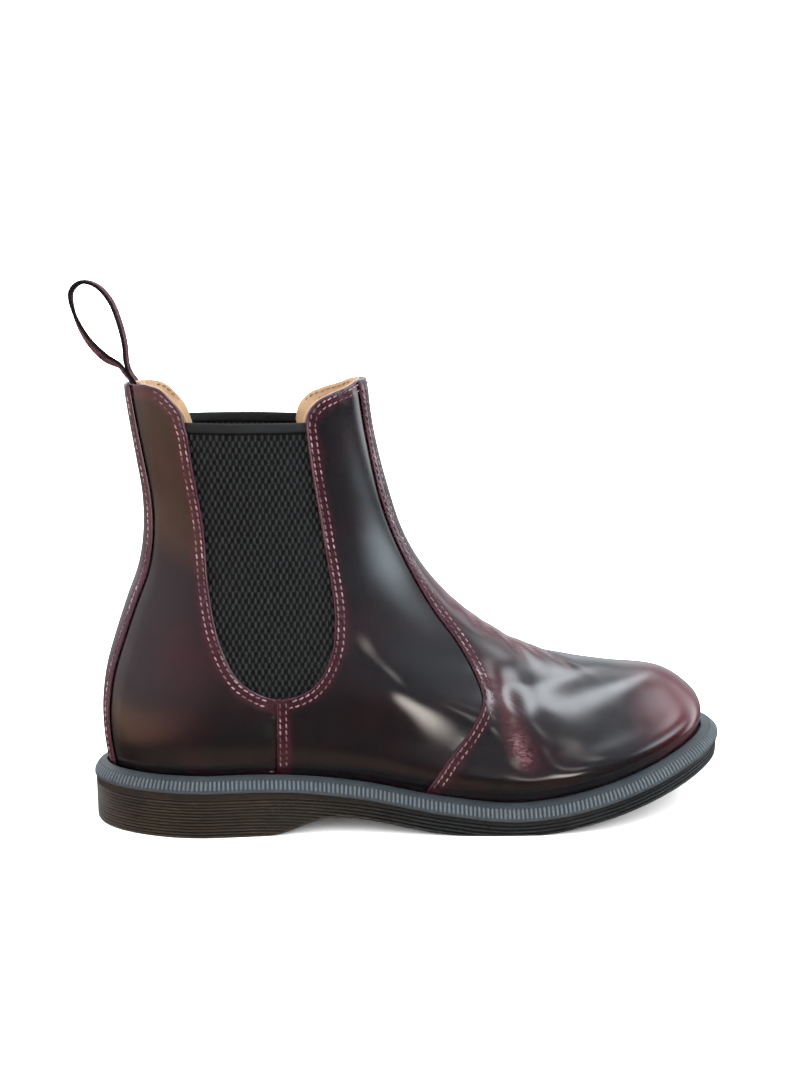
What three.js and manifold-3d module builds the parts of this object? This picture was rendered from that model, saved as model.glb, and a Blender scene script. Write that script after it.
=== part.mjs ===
// Chelsea boot for the right foot, EU size 39.
// Millimetres. +X runs from heel to toe, +Y to the inner (medial) side of the foot, +Z up.
// Lengths along x are drawn from the back of the heel; the finished group is then moved so
// that the origin is the middle of the heel's ground face.
import * as THREE from 'three';
import { mergeVertices } from 'three/addons/utils/BufferGeometryUtils.js';
import Module from 'manifold-3d';

const wasm = await Module();
wasm.setup();

// ---------------------------------------------------------------- driving dimensions
const HEEL_CENTRE_X = 40; // drawn x of the origin
const GAP = 0.3; // between any two pieces that touch

// Sheet thicknesses of the upper
const OVERLAY_THICKNESS = 1.3; // vamp and backstay, skived where they lie over the quarters
const QUARTER_THICKNESS = 1.4;
const GORE_THICKNESS = 1.3;
const LINING_THICKNESS = 1.0;

// Each layer is given by how deep its outer and inner faces lie under the boot's outer surface
const layerBelow = (depth, thickness) => ({ outer: -depth, inner: -depth - thickness });
const OVERLAY = layerBelow(0, OVERLAY_THICKNESS);
const QUARTER = layerBelow(OVERLAY_THICKNESS + GAP, QUARTER_THICKNESS);
const CORE = layerBelow(-QUARTER.inner + GAP, GORE_THICKNESS);
const LINING = layerBelow(-CORE.inner + GAP, LINING_THICKNESS);
const TOE_PUFF = layerBelow(OVERLAY_THICKNESS + GAP, 1.2);
const VAMP_LINING = layerBelow(-TOE_PUFF.inner + GAP, LINING_THICKNESS);

// Sole
const WELT_THICKNESS = 3.3; // where it meets the upper
const WELT_SLOPE = 4.7; // drop from the upper to the welt's outer edge
const WELT_SIDE = 6.2; // depth of the welt's underside at its outer edge
const HEEL_SEAT_END = 75; // where the heel's ground face stops
const WAIST_CREST = 104; // highest point of the arch under the waist
const WAIST_HEIGHT = 7.6;
const BALL_START = 160; // ground face of the forepart
const BALL_END = 190;
const SPRING_END = 275; // just short of the tip
const TOE_SPRING = 18.8; // height of the lower face there

// Upper
const UPPER_BELOW_WELT = 3; // how far the upper reaches down behind the welt
const SIDE_SEAM_X = 79.8;
const LINING_SEAM_X = 150;
const VAMP_OVERLAP = 8; // quarter leather under the vamp
const GORE_MARGIN = 8; // elastic hidden under the quarters
const GORE_TOP = 173.5;
const BINDING_HEIGHT = 4;
const BINDING_THICKNESS = 0.7;
const BACKSTAY_WIDTH = 20;

// Pull loop
const WEBBING_WIDTH = 20;
const WEBBING_THICKNESS = 1.8;
const LOOP_BASE = new THREE.Vector2(20, 192.4); // middle of the loop's lower end
const ANCHOR_TOP = 188.9;
const ANCHOR_DEPTH = 26; // webbing sewn in between back quarters and lining

// ---------------------------------------------------------------- curves
const clamp = THREE.MathUtils.clamp;
const lerp = THREE.MathUtils.lerp;

function ease(start, end, x) {
  return THREE.MathUtils.smoothstep(x, start, end);
}

// Smooth curve through points: cubic between knots, slopes from the neighbours
function curveAt(knots, values, x) {
  const last = knots.length - 1;
  let i = 0;
  while (i < last - 1 && x >= knots[i + 1]) i += 1;
  const span = (k) => knots[k + 1] - knots[k];
  const rise = (k) => (values[k + 1] - values[k]) / span(k);
  const slope = (k) => {
    if (k === 0) return rise(0);
    if (k === last) return rise(last - 1);
    return (rise(k - 1) * span(k) + rise(k) * span(k - 1)) / (span(k) + span(k - 1));
  };
  const t = (x - knots[i]) / span(i);
  const t2 = t * t;
  const t3 = t2 * t;
  return (
    (2 * t3 - 3 * t2 + 1) * values[i] +
    (t3 - 2 * t2 + t) * span(i) * slope(i) +
    (3 * t2 - 2 * t3) * values[i + 1] +
    (t3 - t2) * span(i) * slope(i + 1)
  );
}

const column = (rows, index) => rows.map((row) => row[index]);

// Height of the welt's top face: low at the ball, rising to the toe
const WELT_LINE = [[-10, 26], [5, 26], [45, 26], [80, 25.6], [115, 22], [150, 15.6], [180, 12.6],
  [200, 14.3], [215, 17.3], [245, 24.4], [275, 33], [290, 37]];
const weltTop = (x) => curveAt(column(WELT_LINE, 0), column(WELT_LINE, 1), x);

// Height of the sole's lower face: heel, arched waist, ball and toe spring
function soleBottom(x) {
  const up = ease(HEEL_SEAT_END, WAIST_CREST, x);
  const down = 1 - ease(WAIST_CREST, BALL_START, x);
  const spring = TOE_SPRING * (Math.max(0, x - BALL_END) / (SPRING_END - BALL_END)) ** 1.25;
  return WAIST_HEIGHT * up * down + spring;
}

// How far the welt stands out from the upper
const weltReach = (x) => lerp(6, 8.4, ease(60, 190, x));

// ---------------------------------------------------------------- outer surface of the upper
// v runs from 0 at the welt to 1 at the top; theta goes round from the back (0), over the
// outer side, to the front (half a turn) and back over the inner side.
// Each level is the loop between a point at the back and a point at the front.
const LEVELS = [ // back x, back z, front x, front z
  [7.8, 26, 275, 33],
  [6.4, 38, 275.2, 41.5],
  [6.2, 52, 270, 49.5],
  [8.2, 67, 256, 58.2],
  [12.2, 81, 233, 61.6],
  [17.6, 97, 203, 67.5],
  [23, 112, 176, 80.5],
  [25.4, 127, 153, 100],
  [25.3, 142, 138.5, 121],
  [23.2, 157, 129.8, 146],
  [20.7, 173, 124, 170],
  [18.5, 189, 121.3, 191],
];
const LEVEL_V = LEVELS.map((_, i) => i / (LEVELS.length - 1));

// Half widths: one row for each height, one column for each place from back to front
const WIDTH_V = [0, 1 / 11, 2 / 11, 4 / 11, 7 / 11, 1];
const WIDTH_P = [0, 0.15, 0.35, 0.55, 0.75, 1];
const OUTER_WIDTH = [
  [27, 31, 32, 39, 44.5, 38],
  [29, 33.5, 35, 42, 47, 40],
  [29, 33.5, 35, 40, 42.5, 34],
  [27, 31, 34, 34, 31, 26],
  [26, 29, 31, 30, 27, 23],
  [30, 32, 33.5, 33.5, 31, 29],
];
const INNER_WIDTH = [
  [27, 31, 27, 29, 39, 38],
  [29, 33.5, 31, 33, 42, 40],
  [29, 33.5, 33, 35, 39, 34],
  [27, 31, 33, 33, 30, 26],
  [26, 29, 31, 30, 27, 23],
  [30, 32, 33.5, 33.5, 31, 29],
];
// Where and how squarely the loops close at the back and at the front
const ROUND_V = [0, 2 / 11, 4 / 11, 7 / 11, 1];
const BACK_ROUND = [0.17, 0.18, 0.25, 0.42, 0.5];
const FRONT_ROUND = [0.25, 0.32, 0.5, 0.5, 0.5];
const BACK_POWER = [2.1, 2.1, 2.1, 2.1, 2.2];
const FRONT_POWER = [2.2, 2.1, 1.9, 2.0, 2.2];
const TOE_INWARD = 5; // the toe points slightly to the inner side

function halfWidth(table, v, p) {
  const row = WIDTH_P.map((_, i) => curveAt(WIDTH_V, column(table, i), v));
  return curveAt(WIDTH_P, row, p);
}

function roundEnd(distance, power) {
  return (1 - clamp(distance, 0, 1) ** power) ** (1 / power);
}

function upperPoint(theta, height) {
  const v = clamp(height, 0, 1);
  const p = (1 - Math.cos(theta)) / 2;
  const [backX, backZ, frontX, frontZ] = [0, 1, 2, 3].map((i) => curveAt(LEVEL_V, column(LEVELS, i), v));
  const x = lerp(backX, frontX, p);
  const sag = weltTop(x) - lerp(weltTop(backX), weltTop(frontX), p);
  const z = lerp(backZ, frontZ, p) + sag * (1 - ease(0.1, 0.75, v));
  const backRound = curveAt(ROUND_V, BACK_ROUND, v);
  const frontRound = curveAt(ROUND_V, FRONT_ROUND, v);
  const width =
    halfWidth(Math.sin(theta) >= 0 ? OUTER_WIDTH : INNER_WIDTH, v, p) *
    roundEnd(1 - p / backRound, curveAt(ROUND_V, BACK_POWER, v)) *
    roundEnd((p - 1 + frontRound) / frontRound, curveAt(ROUND_V, FRONT_POWER, v));
  const shift = TOE_INWARD * ease(0.55, 1, p) * (1 - ease(0.2, 0.6, v));
  const below = Math.min(height, 0) * UPPER_BELOW_WELT;
  return new THREE.Vector3(x, shift - Math.sign(Math.sin(theta)) * width, z + below);
}

// The same point moved out (or in, when negative) along the surface's normal
function offsetPoint(theta, v, distance) {
  const step = 0.01;
  const low = clamp(v - step, 0, 1 - step);
  const across = upperPoint(theta + step, v).sub(upperPoint(theta - step, v));
  const along = upperPoint(theta, low + step).sub(upperPoint(theta, low));
  const normal = across.cross(along).normalize();
  return upperPoint(theta, v).addScaledVector(normal, distance);
}

// Outline of the foot's last at the welt, moved out by a distance in the ground plane
function footPoint(theta, distance) {
  const step = 0.01;
  const run = upperPoint(theta + step, 0).sub(upperPoint(theta - step, 0));
  const normal = new THREE.Vector3(run.y, -run.x, 0).normalize();
  return upperPoint(theta, 0).addScaledVector(normal, distance);
}

// ---------------------------------------------------------------- solids
const TURN = 2 * Math.PI;
const COLUMNS = 40;
const ROWS = 11;

function geometryFrom(points, faces) {
  const geometry = new THREE.BufferGeometry();
  geometry.setAttribute('position', new THREE.Float32BufferAttribute(points.flatMap((q) => q.toArray()), 3));
  geometry.setIndex(faces.flat());
  return geometry;
}

function quad(a, b, c, d) {
  return [[a, b, c], [a, c, d]];
}

// A sheet of the upper between two depths. All sheets share one grid of columns round the boot
// and rows up it, so that their facets lie parallel; from and to count columns from the back,
// low and high count rows from the welt.
function sheet(layer, { from, to, low = -1, high = ROWS }) {
  const count = to - from + 1;
  const points = [];
  for (const depth of [layer.outer, layer.inner]) {
    for (let row = low; row <= high; row += 1) {
      for (let i = 0; i < count; i += 1) {
        points.push(offsetPoint(((from + i) * TURN) / COLUMNS, row < 0 ? -1 : row / ROWS, depth));
      }
    }
  }
  const top = high - low;
  const at = (face, i, j) => (face * (top + 1) + j) * count + i;
  const faces = [];
  for (let i = 0; i < to - from; i += 1) {
    for (let j = 0; j < top; j += 1) {
      faces.push(...quad(at(0, i, j), at(0, i + 1, j), at(0, i + 1, j + 1), at(0, i, j + 1)));
      faces.push(...quad(at(1, i, j), at(1, i, j + 1), at(1, i + 1, j + 1), at(1, i + 1, j)));
    }
    faces.push(...quad(at(0, i, top), at(0, i + 1, top), at(1, i + 1, top), at(1, i, top)));
    faces.push(...quad(at(0, i + 1, 0), at(0, i, 0), at(1, i, 0), at(1, i + 1, 0)));
  }
  const last = to - from;
  for (let j = 0; j < top; j += 1) {
    faces.push(...quad(at(0, 0, j), at(0, 0, j + 1), at(1, 0, j + 1), at(1, 0, j)));
    faces.push(...quad(at(0, last, j + 1), at(0, last, j), at(1, last, j), at(1, last, j + 1)));
  }
  return geometryFrom(points, faces);
}

// Loops round the foot's outline, each with its reach beyond it and its height along x
function footLoops(loops, columns) {
  const points = [];
  for (const loop of loops) {
    for (let i = 0; i < columns; i += 1) {
      const theta = (i * TURN) / columns;
      const q = footPoint(theta, loop.reach(upperPoint(theta, 0).x));
      q.z = loop.height(q.x);
      points.push(q);
    }
  }
  return points;
}

function wallBetween(a, b, columns) {
  const faces = [];
  for (let i = 0; i < columns; i += 1) {
    const j = (i + 1) % columns;
    faces.push(...quad(a * columns + i, a * columns + j, b * columns + j, b * columns + i));
  }
  return faces;
}

// A solid of stacked loops, closed below and above
function slab(loops, columns = 48) {
  const faces = [];
  for (let k = 0; k < loops.length - 1; k += 1) faces.push(...wallBetween(k, k + 1, columns));
  const top = (loops.length - 1) * columns;
  for (let i = 0; i < columns / 2; i += 1) {
    const [a, b] = [i, i + 1];
    const [c, d] = [(columns - i - 1) % columns, (columns - i) % columns];
    if (a !== d) faces.push([top + a, top + b, top + d], [a, d, b]);
    if (b !== c) faces.push([top + b, top + c, top + d], [b, d, c]);
  }
  return geometryFrom(footLoops(loops, columns), faces);
}

// A strip round the foot: the loops go round its section
function strip(loops, columns = 48) {
  const faces = loops.flatMap((_, k) => wallBetween(k, (k + 1) % loops.length, columns));
  return geometryFrom(footLoops(loops, columns), faces);
}

// A block with an outline drawn from the side (x, z), from one y to another
function sideBlock(outline, fromY, toY, holes = []) {
  const shape = new THREE.Shape(outline);
  for (const hole of holes) shape.holes.push(new THREE.Path(hole));
  const block = new THREE.ExtrudeGeometry(shape, { depth: toY - fromY, bevelEnabled: false });
  block.rotateX(Math.PI / 2);
  block.translate(0, toY, 0);
  return block;
}

// A block with an outline drawn from above (x, y)
function floorBlock(outline, fromZ, toZ) {
  const block = new THREE.ExtrudeGeometry(new THREE.Shape(outline), { depth: toZ - fromZ, bevelEnabled: false });
  block.translate(0, 0, fromZ);
  return block;
}

function toManifold(geometry) {
  const bare = geometry.clone();
  bare.deleteAttribute('normal');
  bare.deleteAttribute('uv');
  const merged = mergeVertices(bare, 1e-4);
  return new wasm.Manifold(
    new wasm.Mesh({
      numProp: 3,
      vertProperties: new Float32Array(merged.attributes.position.array),
      triVerts: new Uint32Array(merged.index.array),
    }),
  );
}

function fromManifold(solid) {
  const mesh = solid.getMesh();
  const geometry = new THREE.BufferGeometry();
  geometry.setAttribute('position', new THREE.BufferAttribute(new Float32Array(mesh.vertProperties), 3));
  geometry.setIndex(new THREE.BufferAttribute(new Uint32Array(mesh.triVerts), 1));
  return geometry;
}

// Keep the part of a geometry inside every "inside" block and outside every "outside" block
function trim(geometry, { inside = [], outside = [] }) {
  let solid = toManifold(geometry);
  for (const block of inside) solid = solid.intersect(toManifold(block));
  for (const block of outside) solid = solid.subtract(toManifold(block));
  return fromManifold(solid);
}

const points2 = (pairs) => pairs.map(([x, y]) => new THREE.Vector2(x, y));
const smooth = (pairs, divisions) => new THREE.SplineCurve(points2(pairs)).getPoints(divisions);

// A closed outline grown by a distance along its normals (anticlockwise outlines grow outwards)
function grown(outline, distance) {
  return outline.map((q, i) => {
    const next = outline[(i + 1) % outline.length];
    const before = outline[(i + outline.length - 1) % outline.length];
    const run = next.clone().sub(before).normalize();
    return new THREE.Vector2(q.x + run.y * distance, q.y - run.x * distance);
  });
}

// ---------------------------------------------------------------- outlines seen from the side
const FAR = 400; // beyond the boot
const REACH_Y = 80; // half width that every cutting block covers

// The elastic window, from its back top corner down, round and up to its front top corner
const GORE_EDGE = [[43.6, 176], [46, 156], [50, 131], [52.3, 102], [57, 81], [66, 65.5], [80.5, 58.5],
  [94, 62.5], [102.5, 76], [105, 93], [101, 126], [96.3, 155], [93.7, 176]];
const goreOutline = (margin) => grown(smooth(GORE_EDGE, 36), margin);

// Top edge of the leather: back tab, dip over the elastic, front tab
const BACK_TAB = [[26.6, 188.6], [32.6, 187], [38.5, 182], [41.8, 177.5], [43.7, 171]];
const FRONT_TAB = [[94, 171], [95.5, 177.7], [99.5, 182.2], [106, 185.2], [114, 188], [119, 190.3], [124, 191]];
const aboveCollar = () =>
  sideBlock([...points2([[-20, 188.6]]), ...smooth(BACK_TAB, 14), ...smooth(FRONT_TAB, 14),
    ...points2([[140, 191], [140, 240], [-20, 240]])], -REACH_Y, REACH_Y);

// Back edge of the vamp: up the front of the shaft from the low point at the side
const VAMP_EDGE = [[138, 8], [151, 31], [161.5, 44], [168, 56], [166.2, 64.5], [159.5, 77.5], [149, 92.4],
  [136.2, 116.2], [127.8, 137.5], [121.2, 167], [117.4, 189.5]];
const vampEdge = (shift) => smooth(VAMP_EDGE.map(([x, z]) => [x + shift, z]), 40);
const frontOfVampEdge = () =>
  sideBlock([...vampEdge(0), ...points2([[117.4, 210], [FAR, 210], [FAR, 0], [132, 0]])], -REACH_Y, REACH_Y);
const behindVampEdge = () =>
  sideBlock([...points2([[-20, 0], [140, 0]]), ...vampEdge(VAMP_OVERLAP), ...points2([[125.4, 210], [-20, 210]])],
    -REACH_Y, REACH_Y);

// Everything between two x planes
const between = (fromX, toX) =>
  sideBlock(points2([[fromX, -10], [toX, -10], [toX, 240], [fromX, 240]]), -REACH_Y, REACH_Y);

// A block on the middle line at the back of the boot, of a given width
const middleBand = (width, low, high) =>
  sideBlock(points2([[-20, low], [60, low], [60, high], [-20, high]]), -width / 2, width / 2);

// ---------------------------------------------------------------- sole
const reach = (distance) => () => distance;
const aboveWelt = (height) => (x) => weltTop(x) + height;
const SHELF_REACH = 1.4; // the outsole's raised bed ends here, inside the welt

function outsole() {
  const rim = aboveWelt(-WELT_SIDE - GAP);
  const part = (share) => (x) => lerp(soleBottom(x), rim(x), share);
  const plateau = reach(SHELF_REACH - GAP);
  return slab([
    { reach: (x) => weltReach(x) - 1, height: soleBottom },
    { reach: (x) => weltReach(x) - 0.6, height: part(0.1) },
    { reach: (x) => weltReach(x) - 0.5, height: rim },
    { reach: plateau, height: rim },
    { reach: plateau, height: aboveWelt(-WELT_THICKNESS - GAP) },
  ]);
}

// An L in section: a thin leg under the upper's edge, and an outer leg that slopes away from
// the upper and hangs over the outsole's rim
function welt() {
  const inner = reach(GAP + 0.1);
  const shelf = reach(SHELF_REACH);
  return strip([
    { reach: inner, height: aboveWelt(-WELT_THICKNESS) },
    { reach: shelf, height: aboveWelt(-WELT_THICKNESS) },
    { reach: shelf, height: aboveWelt(-WELT_SIDE) },
    { reach: weltReach, height: aboveWelt(-WELT_SIDE) },
    { reach: weltReach, height: aboveWelt(-WELT_SLOPE) },
    { reach: (x) => weltReach(x) * 0.55, height: aboveWelt(-1.3) },
    { reach: inner, height: aboveWelt(0) },
  ]);
}

const INSOLE_REACH = -7.2; // inside the lining
const RIB_WIDTH = 1.6;
const FILLER_TOP = -1.3; // heights are above the welt's top face
const BOARD_BOTTOM = FILLER_TOP + GAP;
const BOARD_TOP = BOARD_BOTTOM + 2;
const SOCK_BOTTOM = BOARD_TOP + GAP;
const SOCK_TOP = SOCK_BOTTOM + 2.4;

function flatPiece(distance, bottom, top) {
  return slab([
    { reach: reach(distance), height: aboveWelt(bottom) },
    { reach: reach(distance), height: aboveWelt(top) },
  ], 40);
}

function insoleRib() {
  const outer = reach(INSOLE_REACH);
  const inner = reach(INSOLE_REACH - RIB_WIDTH);
  return strip([
    { reach: inner, height: aboveWelt(-WELT_THICKNESS) },
    { reach: outer, height: aboveWelt(-WELT_THICKNESS) },
    { reach: outer, height: aboveWelt(FILLER_TOP) },
    { reach: inner, height: aboveWelt(FILLER_TOP) },
  ], 40);
}

// The shank lies in a slot through the filler, from the heel to just behind the ball
const SHANK = { back: 45, front: 140, halfWidth: 7, thickness: 1.4 };

function shankOutline(growth) {
  const { back, front, halfWidth: half } = SHANK;
  const outline = new THREE.Shape();
  outline.absarc(front, 0, half + growth, -Math.PI / 2, Math.PI / 2);
  outline.absarc(back, 0, half + growth, Math.PI / 2, Math.PI * 1.5);
  return outline.getPoints(6);
}

function shank() {
  const plate = flatPiece(INSOLE_REACH - 4, FILLER_TOP - SHANK.thickness, FILLER_TOP - GAP / 2);
  return trim(plate, { inside: [floorBlock(shankOutline(0), -10, 60)] });
}

function filler() {
  const body = flatPiece(INSOLE_REACH - RIB_WIDTH - GAP, -WELT_THICKNESS, FILLER_TOP);
  return trim(body, { outside: [floorBlock(shankOutline(GAP), -10, 60)] });
}

// The sock lies on the board, with a foam pad let into it under the heel
const HEEL_PAD = { x: 42, radiusX: 24, radiusY: 15 };

function heelPadOutline(growth) {
  const ring = new THREE.EllipseCurve(HEEL_PAD.x, 0, HEEL_PAD.radiusX + growth, HEEL_PAD.radiusY + growth);
  return ring.getPoints(24).slice(0, -1);
}

function heelPad() {
  const body = flatPiece(INSOLE_REACH, SOCK_BOTTOM, SOCK_TOP - 1.2);
  return trim(body, { inside: [floorBlock(heelPadOutline(0), -10, 60)] });
}

function sockLiner() {
  const body = flatPiece(INSOLE_REACH, SOCK_BOTTOM, SOCK_TOP);
  const pocket = trim(flatPiece(INSOLE_REACH, SOCK_BOTTOM - 1, SOCK_TOP - 1.2 + GAP), {
    inside: [floorBlock(heelPadOutline(GAP), -10, 60)],
  });
  return trim(body, { outside: [pocket] });
}

// ---------------------------------------------------------------- upper
const HALF = COLUMNS / 2;
// Grid columns on one side: the outer side lies before half a turn, the inner side after it
const side = (isOuter, from, to) => (isOuter ? { from, to } : { from: COLUMNS - to, to: COLUMNS - from });
const acrossFront = (from) => ({ from, to: COLUMNS - from });
const acrossBack = (to) => ({ from: -to, to });

// One side of the boot, short of the middle line by half the gap
const sideOnly = (isOuter) => {
  const [near, far] = isOuter ? [-REACH_Y, -GAP / 2] : [GAP / 2, REACH_Y];
  return sideBlock(points2([[-20, -10], [FAR, -10], [FAR, 240], [-20, 240]]), near, far);
};
const goreWindow = () => sideBlock(goreOutline(0), -REACH_Y, REACH_Y);

function vamp() {
  return trim(sheet(OVERLAY, acrossFront(6)), { inside: [frontOfVampEdge()] });
}

function frontQuarter(isOuter) {
  return trim(sheet(QUARTER, side(isOuter, 5, HALF + 1)), {
    inside: [between(SIDE_SEAM_X, FAR), behindVampEdge(), sideOnly(isOuter)],
    outside: [goreWindow(), aboveCollar()],
  });
}

function backQuarter(isOuter) {
  return trim(sheet(QUARTER, side(isOuter, -1, 13)), {
    inside: [between(-20, SIDE_SEAM_X - GAP), sideOnly(isOuter)],
    outside: [goreWindow(), aboveCollar()],
  });
}

function backstay() {
  return trim(sheet(OVERLAY, acrossBack(5)), {
    inside: [middleBand(BACKSTAY_WIDTH, -10, 240)],
    outside: [aboveCollar()],
  });
}

const aboveLevel = (height) =>
  sideBlock(points2([[0, height], [150, height], [150, 240], [0, 240]]), -REACH_Y, REACH_Y);

function gore(isOuter) {
  return trim(sheet(CORE, { ...side(isOuter, 2, 15), low: 1 }), {
    inside: [sideBlock(goreOutline(GORE_MARGIN), -REACH_Y, REACH_Y)],
    outside: [aboveLevel(GORE_TOP - BINDING_THICKNESS - GAP)],
  });
}

// A tape folded over the elastic's top edge, in the window only
function goreBinding(isOuter) {
  const cells = { ...side(isOuter, 2, 15), low: 9 };
  const room = { outer: CORE.outer + GAP, inner: CORE.inner - GAP };
  const tape = { outer: room.outer + BINDING_THICKNESS, inner: room.inner - BINDING_THICKNESS };
  const slot = trim(sheet(room, cells), { outside: [aboveLevel(GORE_TOP - BINDING_THICKNESS)] });
  const ends = between(GORE_EDGE[0][0] + 1.4, GORE_EDGE.at(-1)[0] - 1.2);
  return trim(sheet(tape, cells), {
    inside: [ends, aboveLevel(GORE_TOP - BINDING_HEIGHT)],
    outside: [aboveLevel(GORE_TOP), slot],
  });
}

function vampLining() {
  return trim(sheet(VAMP_LINING, { ...acrossFront(8), high: 9 }), {
    inside: [between(LINING_SEAM_X + GAP, FAR)],
  });
}

function frontLining() {
  return trim(sheet(LINING, acrossFront(5)), {
    inside: [between(SIDE_SEAM_X, LINING_SEAM_X)],
    outside: [goreWindow(), aboveCollar()],
  });
}

function backLining() {
  return trim(sheet(LINING, acrossBack(13)), {
    inside: [between(-20, SIDE_SEAM_X - GAP)],
    outside: [goreWindow(), aboveCollar()],
  });
}

const TOE_PUFF_BACK = 232;

function toePuff() {
  return trim(sheet(TOE_PUFF, { ...acrossFront(12), high: 5 }), { inside: [between(TOE_PUFF_BACK, FAR)] });
}

// The heel counter's outline keeps below and behind the elastic
const COUNTER_EDGE = [[74, 0], [73, 34], [60, 44], [47, 52], [41, 70], [34, 86], [20, 94], [-20, 96], [-20, 0]];

function heelCounter() {
  return trim(sheet(CORE, { ...acrossBack(12), high: 7 }), {
    inside: [sideBlock(points2(COUNTER_EDGE).reverse(), -REACH_Y, REACH_Y)],
  });
}

// ---------------------------------------------------------------- pull loop
// Inner edge of the webbing's teardrop, anticlockwise from its lowest point
const LOOP_HOLE = [[19.4, 196.6], [19.1, 204], [17.2, 213], [13.6, 222.4], [8.4, 228], [3.2, 229.2],
  [-0.4, 226], [0.5, 217.5], [5.6, 206.8], [12.6, 199.4], [19.4, 196.6]];

function pullLoop() {
  const hole = smooth(LOOP_HOLE, 30).slice(0, -1);
  const outer = grown(hole, WEBBING_THICKNESS).slice(2, -2);
  const base = points2([[LOOP_BASE.x - 3.6, LOOP_BASE.y], [LOOP_BASE.x + 1.4, LOOP_BASE.y]]);
  return sideBlock([...outer, ...base], -WEBBING_WIDTH / 2, WEBBING_WIDTH / 2, [hole.reverse()]);
}

function loopAnchor() {
  return trim(sheet(CORE, { ...acrossBack(5), low: 7 }), {
    inside: [middleBand(WEBBING_WIDTH, ANCHOR_TOP - ANCHOR_DEPTH, ANCHOR_TOP)],
  });
}

// ---------------------------------------------------------------- materials
const material = (color, roughness, metalness = 0) => new THREE.MeshStandardMaterial({ color, roughness, metalness });
const LEATHER = material(0x3a1d24, 0.25);
const LINING_LEATHER = material(0xb98f73, 0.7);
const ELASTIC = material(0x16161a, 0.8);
const TAPE = material(0x1d1d22, 0.6);
const WEBBING = material(0x33242c, 0.8);
const WELT_RUBBER = material(0x3c4045, 0.45);
const SOLE_RUBBER = material(0x1e1c1b, 0.5);
const BOARD = material(0x8a6a4c, 0.9);
const CORK = material(0x9b7348, 0.95);
const STEEL = material(0x8d9095, 0.35, 1);
const FOAM = material(0xc9c2b4, 0.95);
const STIFFENER = material(0xb9ab93, 0.9);
const CANVAS = material(0xd3c9b4, 0.9);

// ---------------------------------------------------------------- assembly
const boot = new THREE.Group();
boot.position.x = -HEEL_CENTRE_X;

function add(name, geometry, surface) {
  const mesh = new THREE.Mesh(geometry, surface);
  mesh.name = name;
  boot.add(mesh);
}

add('outsole', outsole(), SOLE_RUBBER);
add('welt', welt(), WELT_RUBBER);
add('insole_rib', insoleRib(), CANVAS);
add('filler', filler(), CORK);
add('shank', shank(), STEEL);
add('insole_board', flatPiece(INSOLE_REACH, BOARD_BOTTOM, BOARD_TOP), BOARD);
add('heel_pad', heelPad(), FOAM);
add('sock_liner', sockLiner(), LINING_LEATHER);
add('toe_puff', toePuff(), STIFFENER);
add('heel_counter', heelCounter(), STIFFENER);
add('vamp', vamp(), LEATHER);
add('backstay', backstay(), LEATHER);
for (const [name, isOuter] of [['lateral', true], ['medial', false]]) {
  add(`front_quarter_${name}`, frontQuarter(isOuter), LEATHER);
  add(`back_quarter_${name}`, backQuarter(isOuter), LEATHER);
  add(`gore_${name}`, gore(isOuter), ELASTIC);
  add(`gore_binding_${name}`, goreBinding(isOuter), TAPE);
}
add('vamp_lining', vampLining(), LINING_LEATHER);
add('front_lining', frontLining(), LINING_LEATHER);
add('back_lining', backLining(), LINING_LEATHER);
add('loop_anchor', loopAnchor(), WEBBING);
add('pull_loop', pullLoop(), WEBBING);

export default boot;
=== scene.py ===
"""Chelsea boot for the right foot: the looks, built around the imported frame.

The drawing is in millimetres, with +X from heel to toe, +Y to the inner (medial) side and +Z up.
Its x starts at the back of the heel; to_frame() turns it into the frame's metres.
"""

import math

import bpy
import numpy as np
from mathutils import Matrix, Vector
from mathutils.geometry import delaunay_2d_cdt
from mathutils.kdtree import KDTree


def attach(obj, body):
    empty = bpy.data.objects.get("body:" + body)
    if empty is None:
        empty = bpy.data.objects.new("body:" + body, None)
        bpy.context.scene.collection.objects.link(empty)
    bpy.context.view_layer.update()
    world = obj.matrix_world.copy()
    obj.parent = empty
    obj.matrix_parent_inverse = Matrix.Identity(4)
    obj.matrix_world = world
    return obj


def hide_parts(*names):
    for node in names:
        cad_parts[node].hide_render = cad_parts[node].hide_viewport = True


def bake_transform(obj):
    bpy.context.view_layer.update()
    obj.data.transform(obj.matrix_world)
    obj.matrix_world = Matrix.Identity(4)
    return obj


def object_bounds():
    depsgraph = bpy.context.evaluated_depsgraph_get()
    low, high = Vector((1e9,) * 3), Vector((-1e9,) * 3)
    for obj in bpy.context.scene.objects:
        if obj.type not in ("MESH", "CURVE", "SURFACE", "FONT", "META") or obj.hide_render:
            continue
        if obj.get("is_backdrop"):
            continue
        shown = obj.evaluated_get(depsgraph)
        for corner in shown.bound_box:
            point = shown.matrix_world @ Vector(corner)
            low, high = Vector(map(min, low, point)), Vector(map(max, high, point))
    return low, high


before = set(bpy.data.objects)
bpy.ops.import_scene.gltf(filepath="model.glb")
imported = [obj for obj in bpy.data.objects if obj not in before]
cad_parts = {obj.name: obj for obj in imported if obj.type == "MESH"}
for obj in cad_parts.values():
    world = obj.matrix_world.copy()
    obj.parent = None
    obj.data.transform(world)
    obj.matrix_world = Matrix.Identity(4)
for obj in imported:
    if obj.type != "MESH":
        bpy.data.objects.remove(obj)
CAD_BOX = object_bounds()

MM = 0.001
HEEL_CENTRE_X = 40.0  # drawn x of the frame's origin
TURN = 2 * math.pi

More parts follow.
